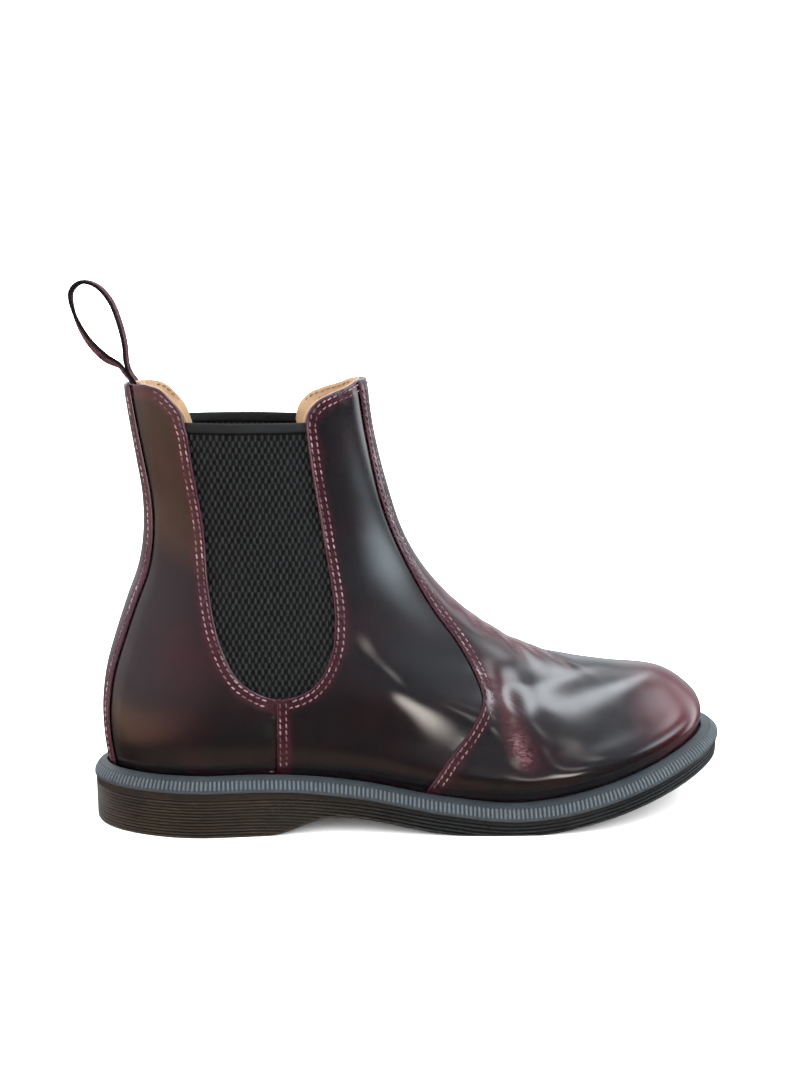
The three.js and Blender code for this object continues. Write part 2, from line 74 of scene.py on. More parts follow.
# ------------------------------------------------------------------ layers, as in the CAD model
GAP = 0.3
OVERLAY = (0.0, 1.3)  # depth of the outer face under the boot's surface, and thickness
QUARTER = (1.6, 1.4)
CORE = (3.3, 1.3)
LINING = (4.9, 1.0)
LINING_HUG = 1.7  # how much nearer the quarters it lies over the tabs

WELT_THICKNESS = 3.3
WELT_SIDE = 6.2
SHELF_REACH = 1.4
SIDE_SEAM_X = 79.8
LINING_SEAM_X = 150.0
VAMP_OVERLAP = 8.0
GORE_TOP = 173.5
BACKSTAY_WIDTH = 20.0
WEBBING_WIDTH = 20.0


# ------------------------------------------------------------------ curves
def spline(knots, values, x):
    """Smooth curve through values at knots: cubic, slopes from the neighbours. Works on rows."""
    knots = np.asarray(knots, float)
    values = np.asarray(values, float)
    flat = values.ndim == 1
    if flat:
        values = values[:, None]
    x = np.asarray(x, float)
    span = np.diff(knots)
    rise = np.diff(values, axis=0) / span[:, None]
    slope = np.empty_like(values)
    slope[0], slope[-1] = rise[0], rise[-1]
    weight = (span[1:] + span[:-1])[:, None]
    slope[1:-1] = (rise[:-1] * span[1:, None] + rise[1:] * span[:-1, None]) / weight
    i = np.clip(np.searchsorted(knots, x, side="right") - 1, 0, len(knots) - 2)
    t = ((x - knots[i]) / span[i])[..., None]
    h = span[i][..., None]
    out = hermite(t, h, values[i], values[i + 1], slope[i], slope[i + 1])
    return out[..., 0] if flat else out


def hermite(t, h, a, b, slope_a, slope_b):
    t2, t3 = t * t, t * t * t
    return (
        (2 * t3 - 3 * t2 + 1) * a + (t3 - 2 * t2 + t) * h * slope_a
        + (3 * t2 - 2 * t3) * b + (t3 - t2) * h * slope_b
    )


def ease(a, b, x):
    t = np.clip((np.asarray(x, float) - a) / (b - a), 0, 1)
    return t * t * (3 - 2 * t)


def curve(points, count):
    """Points evenly spread along a smooth curve through the given ones."""
    points = np.asarray(points, float)
    steps = np.linalg.norm(np.diff(points, axis=0), axis=1)
    along = np.concatenate([[0], np.cumsum(np.sqrt(steps))])
    fine = spline(along, points, np.linspace(0, along[-1], count * 8))
    return resample(fine, count)


def running_length(points):
    """Distance along a polyline, at each of its points."""
    return np.concatenate([[0], np.cumsum(np.linalg.norm(np.diff(points, axis=0), axis=1))])


def resample(points, count):
    length = running_length(points)
    at = np.linspace(0, length[-1], count)
    return np.stack([np.interp(at, length, points[:, k]) for k in range(points.shape[1])], -1)


WELT_LINE = [(-10, 26), (5, 26), (45, 26), (80, 25.6), (115, 22), (150, 15.6), (180, 12.6),
             (200, 14.3), (215, 17.3), (245, 24.4), (275, 33), (290, 37)]


def welt_top(x):
    return spline(*zip(*WELT_LINE), x)


def welt_reach(x):
    return 6 + 2.4 * ease(60, 190, x)


def sole_bottom(x):
    arch = 7.6 * ease(75, 104, x) * (1 - ease(104, 160, x))
    spring = 18.8 * (np.maximum(0, np.asarray(x) - 190) / 85) ** 1.25
    return arch + spring


# ------------------------------------------------------------------ outer surface of the upper
LEVELS = np.array([  # back x, back z, front x, front z
    (7.8, 26, 275, 33), (6.4, 38, 275.2, 41.5), (6.2, 52, 270, 49.5), (8.2, 67, 256, 58.2),
    (12.2, 81, 233, 61.6), (17.6, 97, 203, 67.5), (23, 112, 176, 80.5), (25.4, 127, 153, 100),
    (25.3, 142, 138.5, 121), (23.2, 157, 129.8, 146), (20.7, 173, 124, 170), (18.5, 189, 121.3, 191),
], float)
LEVEL_V = np.linspace(0, 1, len(LEVELS))
WIDTH_V = [0, 1 / 11, 2 / 11, 4 / 11, 7 / 11, 1]
WIDTH_P = np.array([0, 0.15, 0.35, 0.55, 0.75, 1])
OUTER_WIDTH = np.array([
    (27, 31, 32, 39, 44.5, 38), (29, 33.5, 35, 42, 47, 40), (29, 33.5, 35, 40, 42.5, 34),
    (27, 31, 34, 34, 31, 26), (26, 29, 31, 30, 27, 23), (30, 32, 33.5, 33.5, 31, 29),
], float)
INNER_WIDTH = np.array([
    (27, 31, 27, 29, 39, 38), (29, 33.5, 31, 33, 42, 40), (29, 33.5, 33, 35, 39, 34),
    (27, 31, 33, 33, 30, 26), (26, 29, 31, 30, 27, 23), (30, 32, 33.5, 33.5, 31, 29),
], float)
ROUND_V = [0, 2 / 11, 4 / 11, 7 / 11, 1]
BACK_ROUND = [0.17, 0.18, 0.25, 0.42, 0.5]
FRONT_ROUND = [0.25, 0.32, 0.5, 0.5, 0.5]
BACK_POWER = [2.1, 2.1, 2.1, 2.1, 2.2]
FRONT_POWER = [2.2, 2.1, 1.9, 2.0, 2.2]
UPPER_BELOW_WELT = 30.0  # height of one unit of v under the welt's top face
UPPER_ABOVE_TOP = 165.0  # and above the top


def half_width(table, v, p):
    rows = spline(WIDTH_V, table, v)
    span = np.diff(WIDTH_P)
    rise = np.diff(rows, axis=-1) / span
    slope = np.empty_like(rows)
    slope[..., 0], slope[..., -1] = rise[..., 0], rise[..., -1]
    slope[..., 1:-1] = (rise[..., :-1] * span[1:] + rise[..., 1:] * span[:-1]) / (span[1:] + span[:-1])
    i = np.clip(np.searchsorted(WIDTH_P, p, side="right") - 1, 0, len(span) - 1)

    def pick(a, k):
        return np.take_along_axis(a, (i + k)[..., None], -1)[..., 0]

    t = (p - WIDTH_P[i]) / span[i]
    return hermite(t, span[i], pick(rows, 0), pick(rows, 1), pick(slope, 0), pick(slope, 1))


FULLNESS = (129.0, 63.0, 18.0, 2.2)  # x, z, radius and height of the fullness beside the instep


def surface(theta, v):
    """theta goes round from the back over the outer side; v runs up from the welt to the top."""
    theta, v = np.broadcast_arrays(np.asarray(theta, float), np.asarray(v, float))
    p = (1 - np.cos(theta)) / 2
    level = np.clip(v, 0, 1)
    ends = spline(LEVEL_V, LEVELS, level)
    back_x, back_z, front_x, front_z = (ends[..., k] for k in range(4))
    x = back_x + (front_x - back_x) * p
    line = back_z + (front_z - back_z) * p
    sag = welt_top(x) - (welt_top(back_x) + (welt_top(front_x) - welt_top(back_x)) * p)
    z = line + (1 - ease(0.1, 0.75, level)) * sag
    z = z + np.where(v < 0, v * UPPER_BELOW_WELT, 0) + np.where(v > 1, (v - 1) * UPPER_ABOVE_TOP, 0)
    back = np.clip(1 - p / spline(ROUND_V, BACK_ROUND, level), 0, 1)
    front_round = spline(ROUND_V, FRONT_ROUND, level)
    front = np.clip((p - (1 - front_round)) / front_round, 0, 1)
    back_power = spline(ROUND_V, BACK_POWER, level)
    front_power = spline(ROUND_V, FRONT_POWER, level)
    cap = (1 - back**back_power) ** (1 / back_power) * (1 - front**front_power) ** (1 / front_power)
    outer = np.sin(theta) >= 0
    width = np.where(outer, half_width(OUTER_WIDTH, level, p), half_width(INNER_WIDTH, level, p)) * cap
    full_x, full_z, full_radius, full_high = FULLNESS
    far = ((x - full_x) ** 2 + (z - full_z) ** 2) / full_radius**2
    width = width + np.where(outer, full_high * np.exp(-far), 0)
    shift = 5 * ease(0.55, 1, p) * (1 - ease(0.2, 0.6, level))
    return np.stack([x, shift - np.where(outer, 1, -1) * width, z], -1)


STEP = 0.004


def derivatives(theta, v):
    low = np.clip(v, STEP, 1 - STEP)
    across = (surface(theta + STEP, v) - surface(theta - STEP, v)) / (2 * STEP)
    along = (surface(theta, low + STEP) - surface(theta, low - STEP)) / (2 * STEP)
    return across, along


def unit(a):
    return a / np.maximum(np.linalg.norm(a, axis=-1, keepdims=True), 1e-12)


def normal(theta, v):
    across, along = derivatives(theta, v)
    return unit(np.cross(across, along))


def place(theta, v, height):
    """The surface's point moved out by height along the normal."""
    theta, v = np.broadcast_arrays(np.asarray(theta, float), np.asarray(v, float))
    return surface(theta, v) + normal(theta, v) * np.asarray(height)[..., None]


def locate(xz):
    """(theta, v) on the outer side of points drawn from the side."""
    xz = np.asarray(xz, float)
    x, z = xz[:, 0], xz[:, 1]
    low, high = np.full(len(x), -0.3), np.full(len(x), 1.3)
    for _ in range(36):
        v = (low + high) / 2
        ends = spline(LEVEL_V, LEVELS, np.clip(v, 0, 1))
        p = np.clip((x - ends[:, 0]) / (ends[:, 2] - ends[:, 0]), 0, 1)
        theta = np.arccos(1 - 2 * p)
        under = surface(theta, v)[:, 2] < z
        low, high = np.where(under, v, low), np.where(under, high, v)
    return np.stack([theta, v], -1)


def foot_loop(theta, reach):
    """Outline of the last at the welt, moved out in the ground plane; reach may vary with theta."""
    here = surface(theta, np.zeros_like(theta))
    run = surface(theta + STEP, np.zeros_like(theta)) - surface(theta - STEP, np.zeros_like(theta))
    out = unit(np.stack([run[:, 1], -run[:, 0], np.zeros(len(theta))], -1))
    return here + out * np.asarray(reach, float)[..., None]


# ------------------------------------------------------------------ outlines drawn from the side
GORE_EDGE = [(43.6, 176), (46, 156), (50, 131), (52.3, 102), (57, 81), (66, 65.5), (80.5, 58.5),
             (94, 62.5), (102.5, 76), (105, 93), (101, 126), (96.3, 155), (93.7, 176)]
BACK_TAB = [(26.6, 188.6), (32.6, 187), (38.5, 182), (41.8, 177.5), (43.7, 171)]
FRONT_TAB = [(94, 171), (95.5, 177.7), (99.5, 182.2), (106, 185.2), (114, 188), (119, 190.3), (124, 191)]
VAMP_EDGE = [(138, 8), (151, 31), (161.5, 44), (168, 56), (166.2, 64.5), (159.5, 77.5), (149, 92.4),
             (136.2, 116.2), (127.8, 137.5), (121.2, 167), (117.4, 189.5)]


# ------------------------------------------------------------------ meshes
def to_frame(points):
    return (np.asarray(points, float) - (HEEL_CENTRE_X, 0, 0)) * MM


def make_mesh(name, points, faces, attributes=None, smooth=True):
    mesh = bpy.data.meshes.new(name)
    mesh.from_pydata(to_frame(points).tolist(), [], [tuple(int(i) for i in f) for f in faces])
    mesh.polygons.foreach_set("use_smooth", [smooth] * len(mesh.polygons))
    for key, values in (attributes or {}).items():
        attribute = mesh.attributes.new(key, "FLOAT", "POINT")
        attribute.data.foreach_set("value", np.asarray(values, np.float32))
    mesh.update()
    piece = bpy.data.objects.new(name, mesh)
    bpy.context.scene.collection.objects.link(piece)
    return piece


def finish_piece(piece, material, body="boot", replaces=()):
    piece.data.materials.append(material)
    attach(piece, body)
    if replaces:
        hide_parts(*replaces)
    return piece


def grid_faces(rows, columns, start=0, flip=False, ring=False):
    """Quads between rows of points; columns counts the points of a row."""
    j, i = np.meshgrid(np.arange(rows - 1), np.arange(columns if ring else columns - 1), indexing="ij")
    a = start + j * columns + i
    b = start + j * columns + (i + 1) % columns
    quads = np.stack([a, b, b + columns, a + columns], -1).reshape(-1, 4)
    return quads[:, ::-1] if flip else quads


def grid_rim(rows, columns):
    """The border of a grid of points, once round."""
    rim = list(range(columns)) + [r * columns + columns - 1 for r in range(1, rows)]
    rim += [(rows - 1) * columns + c for c in range(columns - 2, -1, -1)]
    return rim + [r * columns for r in range(rows - 2, 0, -1)]


def walls(rim, start, flip=False):
    """Quads from a rim's points to the same points of a second skin, numbered from start."""
    quads = [(b, a, start + a, start + b) for a, b in zip(rim, rim[1:] + rim[:1])]
    return [quad[::-1] for quad in quads] if flip else quads


def lerp(a, b, t):
    return a + (b - a) * t


# ------------------------------------------------------------------ leather panels
RIM = [(0.0, 0.55), (0.12, 0.22), (0.38, 0.05), (0.9, 0.0)]  # inset, and drop as a share of thickness
WORN_WIDTH = 6.2  # how far in from a worn edge the ground colour shows
PARAMETER_SCALE = np.array([60.0, 170.0])  # roughly millimetres per unit of theta and of v


def step_inward(loop, distance):
    """Moves a closed loop of (theta, v) to its left by a distance along the surface."""
    steps = max(1, math.ceil(distance / 0.6))
    for _ in range(steps):
        here = surface(loop[:, 0], loop[:, 1])
        tangent = unit(np.roll(here, -1, 0) - np.roll(here, 1, 0))
        across, along = derivatives(loop[:, 0], loop[:, 1])
        inward = np.cross(unit(np.cross(across, along)), tangent) * (distance / steps)
        loop = loop + solve_in_surface(across, along, inward)
    return loop


def solve_in_surface(across, along, move):
    aa, bb, ab = (across * across).sum(-1), (along * along).sum(-1), (across * along).sum(-1)
    ma, mb = (move * across).sum(-1), (move * along).sum(-1)
    det = np.maximum(aa * bb - ab * ab, 1e-9)
    return np.stack([(ma * bb - mb * ab) / det, (mb * aa - ma * ab) / det], -1)


def tree_of(points):
    tree = KDTree(len(points))
    for i, point in enumerate(points):
        tree.insert(point, i)
    tree.balance()
    return tree


def distances(tree, points):
    return np.array([tree.find(point)[2] for point in points])


def inside(loop, points):
    """Even-odd test of points against a closed loop."""
    x, y = points[:, 0], points[:, 1]
    odd = np.zeros(len(points), bool)
    for (x0, y0), (x1, y1) in zip(loop, np.roll(loop, -1, 0)):
        if y0 == y1:
            continue
        crosses = (y0 > y) != (y1 > y)
        odd ^= crosses & (x < (x1 - x0) * (y - y0) / (y1 - y0) + x0)
    return odd


def triangulate(loop, extra):
    """Triangles inside a closed loop of (theta, v), through the extra points too."""
    points = np.vstack([loop, extra])
    edges = [(i, (i + 1) % len(loop)) for i in range(len(loop))]
    flat = points * PARAMETER_SCALE
    result = delaunay_2d_cdt([Vector(q) for q in flat], edges, [], 1, 1e-5)
    kept = [ids[0] if ids else -1 for ids in result[3]]
    if -1 in kept:
        raise RuntimeError("an outline crosses itself")
    return points, [[kept[i] for i in face] for face in result[2]]


def dense(segments, spacing=1.3):
    """Joins outline segments, each a polyline of (theta, v), into one evenly stepped closed loop."""
    loop, owner = [], []
    for k, segment in enumerate(segments):
        segment = np.asarray(segment, float)
        solid = surface(segment[:, 0], segment[:, 1])
        length = running_length(solid)
        count = max(2, int(round(length[-1] / spacing)))
        at = np.linspace(0, length[-1], count, endpoint=False)
        loop.append(np.stack([np.interp(at, length, segment[:, c]) for c in range(2)], -1))
        owner += [k] * count
    return np.vstack(loop), np.array(owner)


def fill(loop, margin, theta_step, v_step):
    """Grid points inside the loop, at least a margin away from it."""
    low, high = loop.min(0), loop.max(0)
    thetas = np.arange(low[0], high[0], theta_step)
    vs = np.arange(low[1], high[1], v_step)
    grid = np.stack(np.meshgrid(thetas, vs, indexing="ij"), -1).reshape(-1, 2)
    grid = grid[inside(loop, grid)]
    away = distances(tree_of(surface(loop[:, 0], loop[:, 1])), surface(grid[:, 0], grid[:, 1]))
    return grid[away > margin]


def panel(name, segments, layer, worn, relief=None, tone=None, step=(0.024, 0.0095), dip=0.35):
    """A sheet of leather with a rounded edge. Segments run anticlockwise, seen from outside.

    worn lists the segments whose edge shows the lighter ground colour.
    """
    depth, thickness = layer
    loop, owner = dense(segments)
    rings = []
    border = tree_of(surface(loop[:, 0], loop[:, 1]))
    for inset, _ in RIM[1:]:
        ring = step_inward(loop, inset)
        ring = ring[distances(border, surface(ring[:, 0], ring[:, 1])) > inset * 0.8]
        rings.append(ring[inside(loop, ring)])
    interior = fill(loop, RIM[-1][0] + 0.45, *step)
    points, faces = triangulate(loop, np.vstack(rings + [interior]))
    theta, v = points[:, 0], points[:, 1]
    solid = surface(theta, v)
    away = distances(border, solid)
    away[: len(loop)] = 0
    insets, drops = zip(*RIM)
    height = -depth - thickness * np.interp(away, insets, drops) - dip * (1 - ease(0, 4.5, away))
    if relief is not None:
        height = height + relief(theta, v, solid, away)
    outer = place(theta, v, height)
    chosen = solid[: len(loop)][np.isin(owner, worn)]
    rub = np.exp(-((distances(tree_of(chosen), solid) / WORN_WIDTH) ** 3))
    shade, scuff = (np.zeros(len(points)),) * 2 if tone is None else tone(theta, v, solid, away)

    back_points, back_faces = triangulate(loop, fill(loop, 1.5, 0.05, 0.022))
    inner = place(back_points[:, 0], back_points[:, 1], np.full(len(back_points), -depth - thickness))
    start = len(outer)
    faces = oriented(faces, outer, theta, v)
    back_faces = oriented(back_faces, inner, back_points[:, 0], back_points[:, 1])
    everything = [tuple(f) for f in faces] + [tuple(start + i for i in reversed(f)) for f in back_faces]
    everything += walls(list(range(len(loop))), start)
    filler = np.zeros(len(inner))
    piece = make_mesh(name, np.vstack([outer, inner]), everything, {
        "rub": np.concatenate([rub, filler]),
        "tone": np.concatenate([shade, filler]),
        "scuff": np.concatenate([scuff, filler]),
        "edge": np.concatenate([away, filler]),
    })
    finish_piece(piece, UPPER, replaces=(name,))


def oriented(faces, points, theta, v):
    """Turns the faces so that they look outwards."""
    out = normal(theta, v)
    turned = []
    for face in faces:
        a, b, c = (points[i] for i in face[:3])
        turned.append(face if np.dot(np.cross(b - a, c - a), out[face[0]]) > 0 else face[::-1])
    return turned


def mirrored(segments):
    """The same outline on the inner side, still anticlockwise."""
    return [segment[::-1] * (-1, 1) + (TURN, 0) for segment in segments[::-1]]


# ------------------------------------------------------------------ stitches
def stitch_points(parts, outline, inset, ends):
    """(theta, v) along neighbouring parts of an outline, a distance inside it, less some end points."""
    loop, owner = dense(outline, 0.8)
    moved = step_inward(loop, inset)
    order = np.nonzero(np.isin(owner, parts))[0]
    breaks = np.nonzero(np.diff(order) > 1)[0]
    if len(breaks):
        order = np.concatenate([order[breaks[0] + 1:], order[: breaks[0] + 1]])
    path = moved[order]
    return path[ends[0]: len(path) - ends[1]]


STITCH_PITCH = 2.9
STITCH_LENGTH = 2.5
STITCH_RADIUS = 0.3
STATIONS = 5
SIDES = 6


def stitches(path, height, outward=1):
    """Thread loops lying along a (theta, v) path at a height over the boot's surface.

    outward is -1 for stitches that show on the inside.
    """
    base = place(path[:, 0], path[:, 1], np.full(len(path), height))
    up = normal(path[:, 0], path[:, 1]) * outward
    length = running_length(base)
    count = int(length[-1] // STITCH_PITCH)
    share = STITCH_LENGTH / STITCH_PITCH
    starts = (np.arange(count) + 0.5 * (1 - share)) * STITCH_PITCH
    t = np.linspace(0, 1, STATIONS)
    at = starts[:, None] + t[None] * STITCH_PITCH * share
    centre = np.stack([np.interp(at, length, base[:, k]) for k in range(3)], -1)
    lift = unit(np.stack([np.interp(at, length, up[:, k]) for k in range(3)], -1))
    along = unit(centre[:, -1:] - centre[:, :1])
    aside = unit(np.cross(lift, along))
    arch = np.sin(np.pi * t) ** 0.6
    # each stitch lies slightly askew, as a lockstitch does
    skew = (t - 0.5) * 0.3
    centre = centre + lift * (arch * 0.42 - 0.34)[None, :, None] + aside * skew[None, :, None]
    size = STITCH_RADIUS * (0.62 + 0.38 * np.sin(np.pi * t))
    around = np.linspace(0, TURN, SIDES, endpoint=False)
    ring = (
        centre[:, :, None]
        + aside[:, :, None] * (np.cos(around) * 1.15)[None, None, :, None] * size[None, :, None, None]
        + lift[:, :, None] * np.sin(around)[None, None, :, None] * size[None, :, None, None]
    )
    points = ring.reshape(-1, 3)
    faces = []
    for k in range(count):
        start = k * STATIONS * SIDES
        faces += grid_faces(STATIONS, SIDES, start, flip=True, ring=True).tolist()
        faces.append(tuple(start + i for i in range(SIDES)))
        faces.append(tuple(start + (STATIONS - 1) * SIDES + i for i in reversed(range(SIDES))))
    return points, faces


def thread(name, rows, material):
    """One object with all the stitches of some rows."""
    points, faces = [], []
    for row_points, row_faces in rows:
        offset = sum(len(p) for p in points)
        points.append(row_points)
        faces += [tuple(i + offset for i in f) for f in row_faces]
    return finish_piece(make_mesh(name, np.vstack(points), faces), material)


# ------------------------------------------------------------------ materials
def rgb(hex_text):
    """A written colour as linear light."""
    parts = [int(hex_text[i:i + 2], 16) / 255 for i in (0, 2, 4)]
    linear = [c / 12.92 if c <= 0.04045 else ((c + 0.055) / 1.055) ** 2.4 for c in parts]
    return (*linear, 1)


class Nodes:
    """Small helper to wire a material's nodes."""

    def __init__(self, name):
        self.material = bpy.data.materials.new(name)
        self.material.use_nodes = True
        self.tree = self.material.node_tree
        self.shader = self.tree.nodes["Principled BSDF"]

    def add(self, kind, inputs=None, **settings):
        node = self.tree.nodes.new(kind)
        for key, value in settings.items():
            setattr(node, key, value)
        for key, value in (inputs or {}).items():
            self.put(node.inputs[key], value)
        return node

    def put(self, socket, value):
        if isinstance(value, bpy.types.NodeSocket):
            self.tree.links.new(value, socket)
        else:
            socket.default_value = value

    def set(self, **values):
        for key, value in values.items():
            self.put(self.shader.inputs[key.replace("_", " ")], value)

    def place(self):
        """Object-space position in metres."""
        return self.add("ShaderNodeTexCoord").outputs["Object"]

    def stretch(self, vector, scale):
        node = self.add("ShaderNodeMapping", {"Vector": vector})
        node.inputs["Scale"].default_value = scale
        return node.outputs["Vector"]

    def noise(self, vector, scale, detail=4.0, roughness=0.55, distortion=0.0):
        return self.add("ShaderNodeTexNoise", {
            "Vector": vector, "Scale": scale, "Detail": detail,
            "Roughness": roughness, "Distortion": distortion,
        }).outputs["Fac"]

    def cells(self, vector, scale):
        return self.add("ShaderNodeTexVoronoi", {"Vector": vector, "Scale": scale}).outputs["Distance"]

    def dot(self, vector, fixed):
        node = self.add("ShaderNodeVectorMath", {0: vector, 1: tuple(fixed)}, operation="DOT_PRODUCT")
        return node.outputs["Value"]

    def math(self, operation, a, b=0.0, clamp=False):
        node = self.add("ShaderNodeMath", operation=operation, use_clamp=clamp)
        self.put(node.inputs[0], a)
        self.put(node.inputs[1], b)
        return node.outputs[0]

    def ramp(self, value, low, high, to_low=0.0, to_high=1.0, smooth=True):
        node = self.add("ShaderNodeMapRange", {
            "Value": value, "From Min": low, "From Max": high, "To Min": to_low, "To Max": to_high,
        })
        node.interpolation_type = "SMOOTHSTEP" if smooth else "LINEAR"
        return node.outputs[0]

    def mix(self, factor, a, b, blend="MIX"):
        node = self.add("ShaderNodeMix", data_type="RGBA", blend_type=blend)
        self.put(node.inputs[0], factor)
        self.put(node.inputs[6], a)
        self.put(node.inputs[7], b)
        return node.outputs[2]

    def attribute(self, name):
        return self.add("ShaderNodeAttribute", attribute_name=name).outputs["Fac"]

    def bump(self, height, strength, distance, under=None):
        node = self.add("ShaderNodeBump", {"Height": height, "Strength": strength, "Distance": distance})
        if under is not None:
            self.put(node.inputs["Normal"], under)
        return node.outputs["Normal"]


class WorldNodes(Nodes):
    """The same helper for the world's nodes."""

    def __init__(self, world):
        self.tree = world.node_tree


def leather():
    """Glossy rubbed-off leather: near black over a burgundy ground that shows at the worn edges."""
    n = Nodes("upper_leather")
    here = n.place()
    cloud = n.noise(here, 42.0, 5.0, 0.6)
    scratch = n.noise(n.stretch(here, (0.5, 1.0, 2.2)), 700.0, 4.0, 0.7, 0.8)
    mottle = n.noise(here, 260.0, 4.0, 0.6, 0.4)
    rub = n.attribute("rub")
    tone = n.attribute("tone")
    edge = n.attribute("edge")
    show = n.math("ADD", rub, n.math("MULTIPLY", n.math("SUBTRACT", cloud, 0.5), 0.9))
    show = n.math("MULTIPLY", n.ramp(show, 0.12, 0.85, 0.0, 0.85), n.ramp(rub, 0.02, 0.3))
    patch = n.math("MULTIPLY", tone, n.ramp(mottle, 0.25, 0.7, 0.75, 1.0), clamp=True)
    base = n.mix(n.ramp(cloud, 0.42, 0.72), rgb("0a090b"), rgb("12080b"))
    base = n.mix(show, base, rgb("230b11"))
    base = n.mix(patch, base, rgb("4c101b"))
    fleck = n.ramp(n.noise(here, 900.0, 3.0, 0.7), 0.56, 0.72)
    fleck = n.math("MULTIPLY", fleck, n.ramp(show, 0.3, 1.0, 0.0, 0.4))
    base = n.mix(fleck, base, rgb("5c2a33"))
    raw = n.ramp(edge, 0.25, 0.75, 1.0, 0.0)
    base = n.mix(n.math("MULTIPLY", raw, n.ramp(rub, 0.3, 0.8, 0.0, 0.6)), base, rgb("38202a"))
    worn = n.math("MULTIPLY", n.attribute("scuff"), n.ramp(scratch, 0.36, 0.72), clamp=True)
    base = n.mix(worn, base, rgb("805c60"))
    gloss = n.ramp(n.noise(here, 120.0, 3.0), 0.3, 0.75, 0.13, 0.2)
    n.set(Base_Color=base, Roughness=n.math("ADD", gloss, n.math("MULTIPLY", worn, 0.35)))
    n.set(Specular_IOR_Level=0.5, Coat_Weight=0.6, Coat_Roughness=0.06, IOR=1.5)
    waves = n.bump(n.noise(here, 38.0, 2.0, 0.5), 0.16, 0.0006)
    n.set(Normal=n.bump(scratch, n.math("MULTIPLY", worn, 0.3), 0.0002, waves))
    return n.material


def lining_leather():
    n = Nodes("lining_leather")
    here = n.place()
    cloud = n.noise(here, 70.0, 5.0, 0.6)
    pores = n.cells(here, 650.0)
    crease = n.noise(n.stretch(here, (1.0, 1.0, 3.0)), 260.0, 4.0, 0.7, 1.5)
    base = n.mix(n.ramp(cloud, 0.35, 0.7), rgb("95785a"), rgb("866849"))
    base = n.mix(n.ramp(crease, 0.6, 0.75, 0.0, 0.35), base, rgb("5b3c25"))
    base = n.mix(n.ramp(pores, 0.05, 0.2, 0.55, 0.0), base, rgb("4c311e"))
    n.set(Base_Color=base, Roughness=n.ramp(cloud, 0.3, 0.7, 0.62, 0.8))
    n.set(Sheen_Weight=0.15)
    n.set(Normal=n.bump(crease, 0.3, 0.0002, n.bump(pores, 0.25, 0.0002)))
    return n.material


def elastic():
    n = Nodes("elastic")
    here = n.place()
    tone = n.attribute("tone")
    fibre = n.noise(n.stretch(here, (3200.0, 3200.0, 700.0)), 1.0, 3.0, 0.6)
    # painted highlight and shade: the raised strokes of the weave are painted lighter and the hollows between
    # them darker
    base = n.mix(n.ramp(tone, 0.15, 0.8), rgb("020303"), rgb("1d2122"))
    base = n.mix(n.ramp(fibre, 0.4, 0.7, 0.0, 0.35), base, rgb("0a0b0b"))
    n.set(Base_Color=base, Roughness=n.ramp(fibre, 0.3, 0.7, 0.6, 0.8))
    n.set(Specular_IOR_Level=0.25)
    n.set(Normal=n.bump(fibre, 0.35, 0.00015))
    return n.material


def elastic_tape():
    n = Nodes("elastic_tape")
    here = n.place()
    ribs = n.add("ShaderNodeTexWave", {"Vector": here, "Scale": 420.0, "Distortion": 1.2, "Detail": 2.0},
                 bands_direction="Z").outputs["Fac"]
    fibre = n.noise(here, 1500.0, 3.0)
    base = n.mix(ribs, rgb("06090b"), rgb("0f1417"))
    n.set(Base_Color=n.mix(n.ramp(fibre, 0.4, 0.7, 0.0, 0.3), base, rgb("181e21")), Roughness=0.6)
    n.set(Normal=n.bump(ribs, 0.2, 0.0001, n.bump(fibre, 0.2, 0.0001)))
    return n.material


def stitch_thread(name, dull="45232d", bright="80666d", dirty="2e131b"):
    n = Nodes(name)
    here = n.place()
    change = n.noise(here, 130.0, 4.0, 0.7)
    grime = n.noise(here, 700.0, 3.0, 0.6)
    twist = n.add("ShaderNodeTexWave", {"Vector": here, "Scale": 900.0, "Distortion": 2.0, "Detail": 1.0},
                  bands_direction="DIAGONAL").outputs["Fac"]
    base = n.mix(n.ramp(change, 0.4, 0.62), rgb(dull), rgb(bright))
    base = n.mix(n.ramp(grime, 0.45, 0.65, 0.0, 0.6), base, rgb(dirty))
    n.set(Base_Color=base, Roughness=0.55)
    n.set(Normal=n.bump(twist, 0.4, 0.0001))
    return n.material


def welt_rubber():
    n = Nodes("welt_rubber")
    here = n.place()
    cloud = n.noise(here, 45.0, 5.0, 0.6)
    speck = n.noise(here, 1400.0, 3.0, 0.7)
    crest = n.attribute("tone")
    base = n.mix(n.ramp(cloud, 0.35, 0.7), rgb("13181b"), rgb("1c2226"))
    # painted highlight: the rib crests, and a little the smooth bands, are painted lighter where they would
    # catch the light
    base = n.mix(n.math("MULTIPLY", crest, n.ramp(speck, 0.3, 0.7, 0.5, 1.0)), base, rgb("47525a"))
    n.set(Base_Color=base, Roughness=n.ramp(cloud, 0.3, 0.7, 0.36, 0.5))
    n.set(Specular_IOR_Level=0.6)
    n.set(Normal=n.bump(speck, 0.15, 0.0001))
    return n.material


